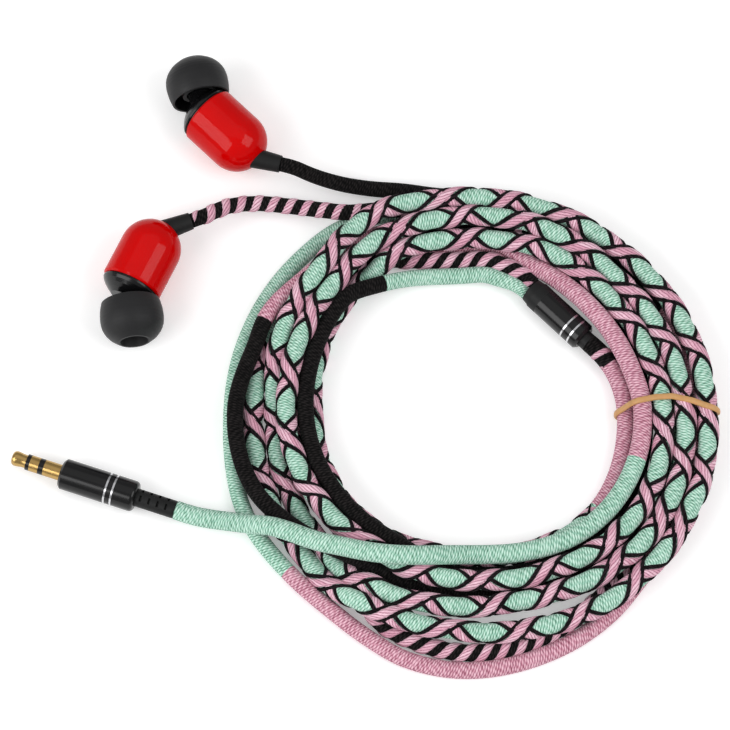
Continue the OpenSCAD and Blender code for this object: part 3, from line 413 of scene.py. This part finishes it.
def bump(t, shader, height, strength, distance):
    node = node_of(t, "ShaderNodeBump")
    node.inputs["Strength"].default_value = strength
    node.inputs["Distance"].default_value = distance
    t.links.new(height, node.inputs["Height"])
    t.links.new(node.outputs[0], shader.inputs["Normal"])


def spread(t, value, low, high):
    return node_of(t, "ShaderNodeMapRange", value, 0.0, 1.0, low, high).outputs[0]


def cotton(name, groove_shade, deep, pale, depth=0.00014, fuzz=0.12, **lay_values):
    """Wound cotton thread in three tones: painted shade in the grooves, the thread's own colour, and a
    painted highlight on the ridges.
    """
    groove_shade, deep, pale = (tint(*tone) for tone in (groove_shade, deep, pale))
    m, t, shader = material(name, deep, Sheen_Weight=fuzz, Sheen_Roughness=0.5)
    shader.inputs["Specular IOR Level"].default_value = fuzz * 1.5
    uv = node_of(t, "ShaderNodeUVMap", uv_map="UVMap")
    lay = node_of(t, "ShaderNodeGroup", node_tree=THREAD)
    t.links.new(uv.outputs[0], lay.inputs["UV"])
    for key, value in lay_values.items():
        lay.inputs[key].default_value = value
    ramp = node_of(t, "ShaderNodeValToRGB", lay.outputs["Shade_And_Tone"])
    stops = ramp.color_ramp.elements
    # The first stop is painted shade for the grooves, the last a painted highlight for the ridges.
    stops[0].position, stops[0].color = 0.22, groove_shade
    stops[1].position, stops[1].color = 0.95, pale
    middle = stops.new(0.55)
    middle.color = deep
    t.links.new(ramp.outputs[0], shader.inputs["Base Color"])
    t.links.new(spread(t, lay.outputs["Shade_And_Tone"], 0.95, 0.75), shader.inputs["Roughness"])
    bump(t, shader, lay.outputs["Height"], 1.0, depth)
    return m


def moulded(name, fresh, worn, rough, grain=4000.0, depth=0.00002, strength=0.3, marks=160.0, shine=0.5,
            **sockets):
    """A smooth material with fine grain, and faint marks that shift its colour and roughness."""
    fresh, worn = tint(*fresh), tint(*worn)
    m, t, shader = material(name, fresh, **sockets)
    shader.inputs["Specular IOR Level"].default_value = shine
    place = node_of(t, "ShaderNodeTexCoord")
    group = node_of(t, "ShaderNodeGroup", node_tree=GRAIN)
    t.links.new(place.outputs["Object"], group.inputs["Place"])
    group.inputs["Grain"].default_value = grain
    group.inputs["Marks"].default_value = marks
    wear = group.outputs["Wear"]
    t.links.new(blend_tones(t, spread(t, wear, -0.4, 1.1), fresh, worn), shader.inputs["Base Color"])
    t.links.new(spread(t, wear, rough * 0.8, rough * 1.25), shader.inputs["Roughness"])
    bump(t, shader, group.outputs["Height"], strength, depth)
    return m


# Cotton colours: painted groove shade, the thread's own colour, painted ridge highlight.
MINT = cotton("mint_cotton", (78, 124, 100), (152, 202, 180), (210, 240, 226))
PINK = cotton("pink_cotton", (136, 68, 90), (202, 138, 158), (238, 194, 208))
BLACK = cotton("black_cotton", (4, 4, 5), (17, 16, 16), (38, 35, 35), fuzz=0.03)
PINK_YARN = cotton("pink_yarn", (150, 86, 110), (216, 158, 178), (242, 204, 218), 0.00016,
                   Thread=0.0011, Starts=-7, Beads=0, Lean=0.0, Fibre=(1500.0, 40.0, 1.0))
BLACK_YARN = cotton("black_yarn", (4, 3, 4), (18, 14, 16), (40, 32, 36), 0.00012, 0.03,
                    Thread=0.0009, Starts=-4, Beads=0, Lean=0.0, Fibre=(1500.0, 30.0, 1.0))
RED = moulded("red_lacquer", (204, 0, 0), (192, 0, 1), 0.22, 900.0, 0.000004, 0.1, shine=0.02,
              Coat_Weight=0.28, Coat_Roughness=0.08)
GLOSS_BLACK = moulded("gloss_black", (11, 11, 12), (16, 16, 17), 0.2, 1500.0, 0.000004, 0.12,
                      shine=0.25, Coat_Weight=0.15, Coat_Roughness=0.1)
SATIN_BLACK = moulded("satin_black", (22, 23, 23), (31, 31, 32), 0.5, 5000.0, 0.00001, 0.4, shine=0.2)
SILICONE = moulded("black_silicone", (29, 29, 30), (23, 23, 25), 0.55, 6000.0, 0.000008, 0.4, shine=0.3,
                   Sheen_Weight=0.06, Sheen_Roughness=0.4)
SILVER = moulded("silver_trim", (214, 214, 216), (190, 190, 194), 0.2, 3000.0, 0.000003, 0.2,
                 Metallic=1.0)
GOLD = moulded("gold_plate", (190, 158, 100), (168, 134, 78), 0.24, 2400.0, 0.000004, 0.25,
               Metallic=1.0)
STEEL = moulded("plated_steel", (176, 178, 182), (150, 152, 158), 0.32, 2500.0, 0.000005, 0.3,
                Metallic=1.0)
COPPER = moulded("copper_wire", (196, 120, 84), (170, 96, 66), 0.35, 9000.0, 0.00001, 0.4,
                 Metallic=1.0)
FILM = moulded("clear_film", (200, 206, 204), (184, 190, 190), 0.25, 2000.0, 0.000004, 0.2)
FELT = moulded("grey_felt", (92, 92, 94), (70, 70, 72), 0.95, 7000.0, 0.00008, 0.9, Sheen_Weight=0.3)
BOARD = moulded("green_board", (34, 96, 62), (24, 78, 50), 0.4, 3000.0, 0.00001, 0.3)
RUBBER = moulded("ochre_rubber", (208, 160, 104), (182, 134, 82), 0.42, 1800.0, 0.00003, 0.5, 420.0,
                 Subsurface_Weight=0.15, Subsurface_Scale=0.0006)

# ---------------------------------------------------------------- cord meshes


def clean(obj, floor=0.00003):
    """Closes seams and ends, turns faces outwards and keeps the mesh on the floor."""
    mesh = bmesh.new()
    mesh.from_mesh(obj.data)
    bmesh.ops.remove_doubles(mesh, verts=mesh.verts, dist=1e-7)
    bmesh.ops.recalc_face_normals(mesh, faces=mesh.faces)
    for v in mesh.verts:
        v.co.z = max(v.co.z, floor)
    mesh.to_mesh(obj.data)
    mesh.free()
    obj.data.shade_smooth()
    return obj


def wound_core(name, cord, radius, coats, sides=14, step=0.0009):
    """The wound body of a cord. The coats are pairs: a material, and the run that it ends at."""
    stops = [0.0] + [min(to, cord.length) for _, to in coats]
    runs = np.unique(np.concatenate([np.linspace(a, b, max(2, int((b - a) / step) + 1))
                                     for a, b in zip(stops, stops[1:]) if b > a]))
    centre, side, rise = (cord.at(v, runs)[:, None] for v in (cord.points, cord.side, cord.rise))
    reach = np.interp(runs, *zip(*radius))[:, None, None]
    turn = np.radians(-90 + 360 * np.arange(sides) / sides)[None, :, None]
    rings = centre + reach * (np.cos(turn) * side + np.sin(turn) * rise)
    n = len(runs)
    faces, uvs, slots = [], [], []
    middle = (runs[1:] + runs[:-1]) / 2
    coat_of = np.searchsorted(stops[1:], middle).clip(0, len(coats) - 1)
    used = [coat for coat, _ in coats]
    kinds = list(dict.fromkeys(used))
    for i in range(n - 1):
        for k in range(sides):
            e = (k + 1) % sides
            faces.append((i * sides + k, (i + 1) * sides + k, (i + 1) * sides + e, i * sides + e))
            low, high = k / sides, (k + 1) / sides
            uvs += [runs[i], low, runs[i + 1], low, runs[i + 1], high, runs[i], high]
            slots.append(kinds.index(used[coat_of[i]]))
    last_slot = slots[-1]
    for end, order, slot in ((0, range(sides), slots[0]), (n - 1, range(sides - 1, -1, -1), last_slot)):
        faces.append(tuple(end * sides + k for k in order))
        uvs += [x for k in order for x in (runs[end], k / sides)]
        slots.append(slot)
    mesh = bpy.data.meshes.new(name)
    mesh.from_pydata(rings.reshape(-1, 3).tolist(), [], faces)
    mesh.uv_layers.new(name="UVMap").data.foreach_set("uv", uvs)
    for kind in kinds:
        mesh.materials.append(kind)
    mesh.polygons.foreach_set("material_index", slots)
    return clean(linked(name, mesh))


TAPER_STEP = 0.0003     # run counted for each guide point where a yarn narrows to its end


def winding_tree():
    """Winds one yarn round a guide line: the guide's points carry their run, side and rise."""
    t = bpy.data.node_groups.new("yarn_winding", "GeometryNodeTree")
    socket(t, "Guide", "Geometry")
    for name, kind, value in (("Sides", "Int", 9), ("Pitch", "Float", 0.014), ("Hand", "Float", 1.0),
                              ("Distance", "Float", 0.0018), ("Half Width", "Float", 0.0008),
                              ("Half Height", "Float", 0.0004), ("Shift", "Float", 0.0),
                              ("Taper", "Float", 0.002), ("Yarn", "Material", None)):
        socket(t, name, kind, value)
    socket(t, "Yarn", "Geometry", out=True)
    i, o = t.nodes.new("NodeGroupInput"), t.nodes.new("NodeGroupOutput")
    guide = i.outputs["Guide"]
    count = node_of(t, "GeometryNodeAttributeDomainSize", guide).outputs["Point Count"]
    grid = node_of(t, "GeometryNodeMeshGrid", 1.0, 1.0, count, i.outputs["Sides"])
    index = node_of(t, "GeometryNodeInputIndex").outputs[0]
    row = calc(t, "FLOOR", calc(t, "DIVIDE", plus(t, index, 0.5), i.outputs["Sides"]))
    column = minus(t, index, times(t, row, i.outputs["Sides"]))
    share = calc(t, "DIVIDE", column, minus(t, i.outputs["Sides"], 1.0))

    def from_guide(name, kind):
        value = node_of(t, "GeometryNodeInputNamedAttribute", name, data_type=kind).outputs[0]
        pick = node_of(t, "GeometryNodeSampleIndex", data_type=kind, domain="POINT", clamp=True)
        t.links.new(guide, pick.inputs["Geometry"])
        t.links.new(value, pick.inputs["Value"])
        t.links.new(row, pick.inputs["Index"])
        return pick.outputs[0]

    centre, side, rise = (from_guide(n, "FLOAT_VECTOR") for n in ("centre", "side", "rise"))
    run = from_guide("run", "FLOAT")
    along = vcalc(t, "CROSS_PRODUCT", rise, side)
    rate = calc(t, "DIVIDE", times(t, i.outputs["Hand"], 2 * math.pi), i.outputs["Pitch"])
    turn = times(t, plus(t, run, i.outputs["Shift"]), rate)
    sine, cosine = calc(t, "SINE", turn), calc(t, "COSINE", turn)
    out = vcalc(t, "ADD", vcalc(t, "SCALE", side, cosine), vcalc(t, "SCALE", rise, sine))
    around = vcalc(t, "SUBTRACT", vcalc(t, "SCALE", rise, cosine), vcalc(t, "SCALE", side, sine))
    steep = times(t, rate, i.outputs["Distance"])
    lay = vcalc(t, "NORMALIZE", vcalc(t, "ADD", along, vcalc(t, "SCALE", around, steep)))
    across = vcalc(t, "CROSS_PRODUCT", out, lay)
    last = minus(t, count, 1.0)
    spacing = times(t, calc(t, "MINIMUM", row, minus(t, last, row)), TAPER_STEP)
    ends = calc(t, "SQRT", calc(t, "MINIMUM", calc(t, "DIVIDE", spacing, i.outputs["Taper"]), 1.0))
    angle = times(t, share, 2 * math.pi)
    wide = times(t, times(t, calc(t, "COSINE", angle), i.outputs["Half Width"]), ends)
    high = times(t, times(t, calc(t, "SINE", angle), i.outputs["Half Height"]), ends)
    lifted = vcalc(t, "ADD", centre, vcalc(t, "SCALE", out, plus(t, i.outputs["Distance"], high)))
    place = vcalc(t, "ADD", lifted, vcalc(t, "SCALE", across, wide))
    strand = times(t, run, calc(t, "SQRT", plus(t, times(t, steep, steep), 1.0)))
    uv = node_of(t, "ShaderNodeCombineXYZ", strand, share, 0.0).outputs[0]
    capture = node_of(t, "GeometryNodeCaptureAttribute", domain="POINT")
    capture.capture_items.new("VECTOR", "UV")
    t.links.new(grid.outputs["Mesh"], capture.inputs["Geometry"])
    t.links.new(uv, capture.inputs[1])
    moved = node_of(t, "GeometryNodeSetPosition")
    t.links.new(capture.outputs["Geometry"], moved.inputs["Geometry"])
    t.links.new(place, moved.inputs["Position"])
    stored = node_of(t, "GeometryNodeStoreNamedAttribute", data_type="FLOAT2", domain="CORNER")
    t.links.new(moved.outputs[0], stored.inputs["Geometry"])
    stored.inputs["Name"].default_value = "UVMap"
    t.links.new(capture.outputs[1], stored.inputs["Value"])
    real = node_of(t, "GeometryNodeRealizeInstances", stored.outputs[0])
    painted = node_of(t, "GeometryNodeSetMaterial")
    t.links.new(real.outputs[0], painted.inputs["Geometry"])
    t.links.new(i.outputs["Yarn"], painted.inputs["Material"])
    t.links.new(painted.outputs[0], o.inputs[0])
    return t


WINDING = winding_tree()
FINE_STEP, CROSSED_STEP = 0.0003, 0.0006      # between the guide's points


def guide_line(cord, a, b, step, drift):
    """The guide's run is what the yarn turns by; a drift other than 0 makes its lay uneven."""
    runs = np.linspace(a, b, int((b - a) / step) + 1)
    mesh = bpy.data.meshes.new("guide")
    centre = cord.at(cord.points, runs)
    mesh.from_pydata(centre.tolist(), [(k, k + 1) for k in range(len(runs) - 1)], [])
    side, rise = cord.at(cord.side, runs), cord.at(cord.rise, runs)
    for name, values in (("centre", centre), ("side", side), ("rise", rise)):
        mesh.attributes.new(name, "FLOAT_VECTOR", "POINT").data.foreach_set("vector", values.ravel())
    uneven = 0
    if drift:
        long_wave, short_wave = np.sin(runs * 151 + drift), np.sin(runs * 233 + 2 * drift)
        uneven = 0.0008 * (long_wave + 0.7 * short_wave)
    mesh.attributes.new("run", "FLOAT", "POINT").data.foreach_set("value", runs + uneven)
    return mesh


def wind(name, cord, a, b, yarn, step=FINE_STEP, drift=0.0, **sizes):
    """One yarn round the cord between two runs, as a plain mesh."""
    rough = linked(name + "_guide", guide_line(cord, a, b, step, drift))
    modifier = rough.modifiers.new("winding", "NODES")
    modifier.node_group = WINDING
    sockets = {item.name: item.identifier for item in WINDING.interface.items_tree
               if item.in_out == "INPUT"}
    for key, value in dict(sizes, Yarn=yarn).items():
        modifier[sockets[key.replace("_", " ")]] = value
    dg = bpy.context.evaluated_depsgraph_get()
    mesh = bpy.data.meshes.new_from_object(rough.evaluated_get(dg))
    bpy.data.objects.remove(rough)
    mesh.name = name
    return clean(linked(name, mesh))


def joined(name, parts):
    """Several meshes as one piece."""
    whole = bmesh.new()
    kinds = []
    for part in parts:
        slots = []
        for kind in part.data.materials:
            if kind not in kinds:
                kinds.append(kind)
            slots.append(kinds.index(kind))
        for face in part.data.polygons:
            face.material_index = slots[face.material_index]
        whole.from_mesh(part.data)
        bpy.data.objects.remove(part)
    mesh = bpy.data.meshes.new(name)
    whole.to_mesh(mesh)
    whole.free()
    for kind in kinds:
        mesh.materials.append(kind)
    mesh.shade_smooth()
    return linked(name, mesh)


R_MAIN, R_EAR, R_LEAD = 0.00205, 0.00180, 0.00162
R_ENTRY = ENTRY_D / 2 * MM
PLY_R = 0.00195         # the wound core under the crossed yarns
PITCH = 0.0140          # of the crossed yarns
PINK_W, PINK_H = 0.00092, 0.00030       # half width and half height
BLACK_W, BLACK_H = 0.00044, 0.00028
STRIPE_LIFT, STRIPE_H = 0.00002, 0.00024
UPPER_LIFT, LOWER_LIFT = 0.00022, 0.00004


def striped(name, cord, a, b, radius, pitch=0.0079, starts=2, cover=0.27):
    """Pink yarn wound over black at an open pitch, in one start or two."""
    wide = pitch / starts * cover * math.cos(math.atan(pitch / (2 * math.pi * radius)))
    parts = [wind(f"{name}_{k}", cord, a, b, PINK_YARN, Pitch=pitch, Hand=1.0,
                  Distance=radius + STRIPE_LIFT, Half_Width=wide, Half_Height=STRIPE_H,
                  Shift=pitch * k / starts, Sides=9)
             for k in range(starts)]
    return joined(name, parts)


def crossed(name, cord, a, b):
    """Two pink yarns wound opposite ways, each between two black ones; the first lies on top."""
    pinks, blacks = [], []
    slant = math.atan(2 * math.pi * PLY_R / PITCH)
    edge = (PINK_W + BLACK_W * 0.85) / math.sin(slant)
    for hand, lift in ((1.0, UPPER_LIFT), (-1.0, LOWER_LIFT)):
        shift = hand * PITCH / 4
        drift = 2 + hand
        pinks.append(wind(f"{name}_{hand}", cord, a, b, PINK_YARN, CROSSED_STEP, drift, Pitch=PITCH,
                          Hand=hand, Distance=PLY_R + lift, Half_Width=PINK_W, Half_Height=PINK_H,
                          Shift=shift, Sides=9))
        for side in (-1, 1):
            blacks.append(wind(f"{name}_{hand}_{side}", cord, a, b, BLACK_YARN, CROSSED_STEP, drift,
                               Pitch=PITCH, Hand=hand, Distance=PLY_R + lift * 0.8, Half_Width=BLACK_W,
                               Half_Height=BLACK_H, Shift=shift + side * edge, Sides=7))
    return joined(name + "_pink", pinks), joined(name + "_black", blacks)


SWELL_RUN, CLOSE_RUN, PLY_RUN = 0.03, 0.008, 0.003      # runs over which a cord's thickness changes
LEFT_SWELL_RUN = 0.04
YARN_GAP = 0.0005       # between the end of a cord and its yarns
START_STRIPES = 0.0015, 0.0064

# Right earbud's cord: black lead, pink, green, striped
right_striped = right_cord.run_at(470)
right_core = wound_core(
    "right_cord", right_cord,
    [(0, R_LEAD), (SWELL_RUN, R_EAR), (right_cord.length - CLOSE_RUN, R_EAR),
     (right_cord.length, R_ENTRY)],
    [(BLACK, right_cord.run_at(60)), (PINK, right_cord.run_at(228)), (MINT, right_striped),
     (BLACK, right_cord.length)])
right_stripes = striped("right_stripes", right_cord, right_striped, right_cord.length - YARN_GAP, R_EAR)

# Left earbud's cord: striped lead, black, pink, black, green
left_core = wound_core(
    "left_cord", left_cord,
    [(0, R_LEAD), (LEFT_SWELL_RUN, R_EAR), (left_cord.length - CLOSE_RUN, R_EAR),
     (left_cord.length, R_ENTRY)],
    [(BLACK, left_cord.run_at(295)), (PINK, left_cord.run_at(335)), (BLACK, left_cord.run_at(688)),
     (MINT, left_cord.length)])
left_stripes = striped("left_stripes", left_cord, YARN_GAP, left_cord.run_at(60), R_LEAD, 0.0037, 1)

# Single cord: short striped start, pink, crossed yarns over green, pink, green to the plug
cross_from, cross_to = main_cord.run_at(128), main_cord.run_at(1405)
main_core = wound_core(
    "main_cord", main_cord,
    [(0, R_MAIN), (cross_from, R_MAIN), (cross_from + PLY_RUN, PLY_R), (cross_to - PLY_RUN, PLY_R),
     (cross_to, R_MAIN), (main_cord.length, R_MAIN)],
    [(BLACK, START_STRIPES[1]), (PINK, cross_from), (MINT, cross_to), (PINK, main_cord.run_at(1548)),
     (MINT, main_cord.length)])
main_stripes = striped("main_stripes", main_cord, *START_STRIPES, R_MAIN, 0.003, 1, 0.22)
main_pink, main_black = crossed("main_yarns", main_cord, cross_from, cross_to)

for piece, slot in ((right_core, "right_coil"), (right_stripes, "right_coil"), (left_core, "left_coil"),
                    (left_stripes, "left_coil"), (main_core, "main_coil"), (main_stripes, "main_coil"),
                    (main_pink, "main_coil"), (main_black, "main_coil")):
    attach(piece, "earphones")
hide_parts("right_lead", "right_coil")
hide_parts("left_lead", "left_coil")
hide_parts("main_coil", "plug_lead")

# ---------------------------------------------------------------- rubber band round the hank

BAND_W, BAND_T = 0.00135, 0.0008
BAND_ROUND = 0.75       # power that rounds the band's section between an oval and a box
BOW_X = (52.6, 54.5, 59, 62, 65.5, 70, 72.5, 76)
BOW_Y = (0, 0.6, 1.2, 1.8, 2.0, 1.0, 0.1, -0.8)


def band_route(count=160):
    """The tight loop round every cord that passes the band."""
    spots = []
    for lane, wide in ((MAIN_LANE, MAIN_D + 0.3), (RIGHT_LANE, EAR_D), (LEFT_LANE, EAR_D)):
        for t in range(90, int(lane[-1][0]), 360):
            if t >= lane[0][0]:
                p = lane_point(lane, t, wide / 2)
                spots.append((p[0], p[2], wide / 2))
    turn = np.radians(np.arange(0, 360, 2))
    off, lowest = 0.4, 0.42
    cloud = sorted({(x + (reach + off) * math.cos(a), max(z + (reach + off) * math.sin(a), lowest))
                    for x, z, reach in spots for a in turn})

    def turns_left(a, b, c):
        return (b[0] - a[0]) * (c[1] - a[1]) - (b[1] - a[1]) * (c[0] - a[0]) > 0

    def half(points):
        """One side of the outline that wraps sorted points."""
        line = []
        for p in points:
            while len(line) > 1 and not turns_left(line[-2], line[-1], p):
                line.pop()
            line.append(p)
        return line[:-1]

    hull = np.array(half(cloud) + half(cloud[::-1]))
    hull = np.vstack([hull, hull[:1]])
    d = np.concatenate([[0], np.cumsum(np.linalg.norm(np.diff(hull, axis=0), axis=1))])
    s = np.linspace(0, d[-1], count, endpoint=False)
    loop = np.stack([np.interp(s, d, hull[:, 0]), np.interp(s, d, hull[:, 1])], 1)
    for _ in range(3):
        loop = (np.roll(loop, 1, 0) + 2 * loop + np.roll(loop, -1, 0)) / 4
    return loop


def band(name):
    """The band's mesh; over the cords it bows along the hank."""
    loop = band_route()
    n, sides = len(loop), 12
    centre = (np.stack([loop[:, 0], np.full(n, HANK[1]), loop[:, 1]], 1) - ORIGIN) * MM
    above = np.clip((loop[:, 1] - 3) / 4, 0, 1)
    centre[:, 1] += np.interp(loop[:, 0], BOW_X, BOW_Y) * above * MM
    along = unit(np.roll(centre, -1, 0) - np.roll(centre, 1, 0))
    wide = unit(np.cross(along, np.cross([0.0, 1.0, 0.0], along)))
    out = np.cross(along, wide)
    turn = 2 * np.pi * np.arange(sides)[None, :, None] / sides
    shape_w, shape_t = (np.sign(part) * np.abs(part) ** BAND_ROUND * size / 2
                        for part, size in ((np.cos(turn), BAND_W), (np.sin(turn), BAND_T)))
    rings = centre[:, None] + shape_w * wide[:, None] + shape_t * out[:, None]
    faces = []
    for i in range(n):
        here, ahead = i * sides, (i + 1) % n * sides
        for k in range(sides):
            e = (k + 1) % sides
            faces.append((here + k, ahead + k, ahead + e, here + e))
    mesh = bpy.data.meshes.new(name)
    mesh.from_pydata(rings.reshape(-1, 3).tolist(), [], faces)
    mesh.materials.append(RUBBER)
    return clean(linked(name, mesh), 0.00001)


rubber = band("hank_band")
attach(rubber, "earphones")
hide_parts("rubber_band")

# ---------------------------------------------------------------- finishes of the CAD pieces

FINISH = {"shell": RED, "front_cap": GLOSS_BLACK, "nozzle_mesh": STEEL, "ear_tip": SILICONE,
          "driver_frame": SATIN_BLACK, "yoke": STEEL, "magnet": STEEL, "top_plate": STEEL,
          "voice_coil": COPPER, "diaphragm": FILM, "damping_felt": FELT, "terminal_board": BOARD,
          "wires": COPPER, "cord_anchor": SATIN_BLACK, "cord_boot": SATIN_BLACK,
          "splitter_join": SATIN_BLACK, "splitter_end": SATIN_BLACK, "splitter_barrel": GLOSS_BLACK,
          "splitter_rings": SILVER, "splitter_core": SATIN_BLACK, "splitter_neck": SATIN_BLACK,
          "jack_tip": GOLD, "jack_ring": GOLD, "jack_sleeve": GOLD, "jack_insulators": GLOSS_BLACK,
          "plug_core": SATIN_BLACK, "plug_barrel": GLOSS_BLACK, "plug_rings": SILVER,
          "plug_relief": SATIN_BLACK}
for name, node in nodes.items():
    short = name.split("_", 1)[1] if name.startswith(("right_", "left_")) else name
    if short in FINISH:
        node.data.materials.clear()
        node.data.materials.append(FINISH[short])

# ---------------------------------------------------------------- floor and light


FLOOR_GLOW, WORLD_LEVEL, FLOOR_REACH = 0.28, 0.42, 3
WHITE = (1, 1, 1, 1)


def floor_material():
    """A pale floor that looks a little brighter to the camera than its light alone would make it."""
    m, t, shader = material("pale_floor", tint(242, 242, 242), Roughness=0.9)
    path = node_of(t, "ShaderNodeLightPath")
    seen = calc(t, "MAXIMUM", path.outputs["Is Camera Ray"], path.outputs["Is Glossy Ray"])
    glow = node_of(t, "ShaderNodeEmission", WHITE, times(t, seen, FLOOR_GLOW))
    add = node_of(t, "ShaderNodeAddShader", shader.outputs[0], glow.outputs[0])
    t.links.new(add.outputs[0], t.nodes["Material Output"].inputs[0])
    return m


floor_mesh = bpy.data.meshes.new("floor")
floor_corners = [(x * FLOOR_REACH, y * FLOOR_REACH, 0) for x, y in ((-1, -1), (1, -1), (1, 1), (-1, 1))]
floor_mesh.from_pydata(floor_corners, [], [(0, 1, 2, 3)])
floor_mesh.materials.append(floor_material())
linked("floor", floor_mesh)

world = bpy.data.worlds.new("studio")
scene.world = world
world.use_nodes = True
background = world.node_tree.nodes["Background"]
background.inputs[0].default_value = WHITE
background.inputs[1].default_value = WORLD_LEVEL


def softbox(name, place, wide, tall, watts):
    """A rectangular lamp that points at the origin."""
    lamp = bpy.data.lights.new(name, "AREA")
    lamp.shape = "RECTANGLE"
    lamp.size, lamp.size_y, lamp.energy = wide, tall, watts
    aim(linked(name, lamp), place, (0.0, 0.0, 0))


softbox("left_softbox", (-0.64, -0.38, 0.58), 0.75, 0.7, 5.5)
softbox("right_softbox", (0.64, -0.25, 0.66), 0.6, 0.6, 3.4)
softbox("top_softbox", (0.05, 0.25, 1.1), 1.4, 1.0, 1.5)
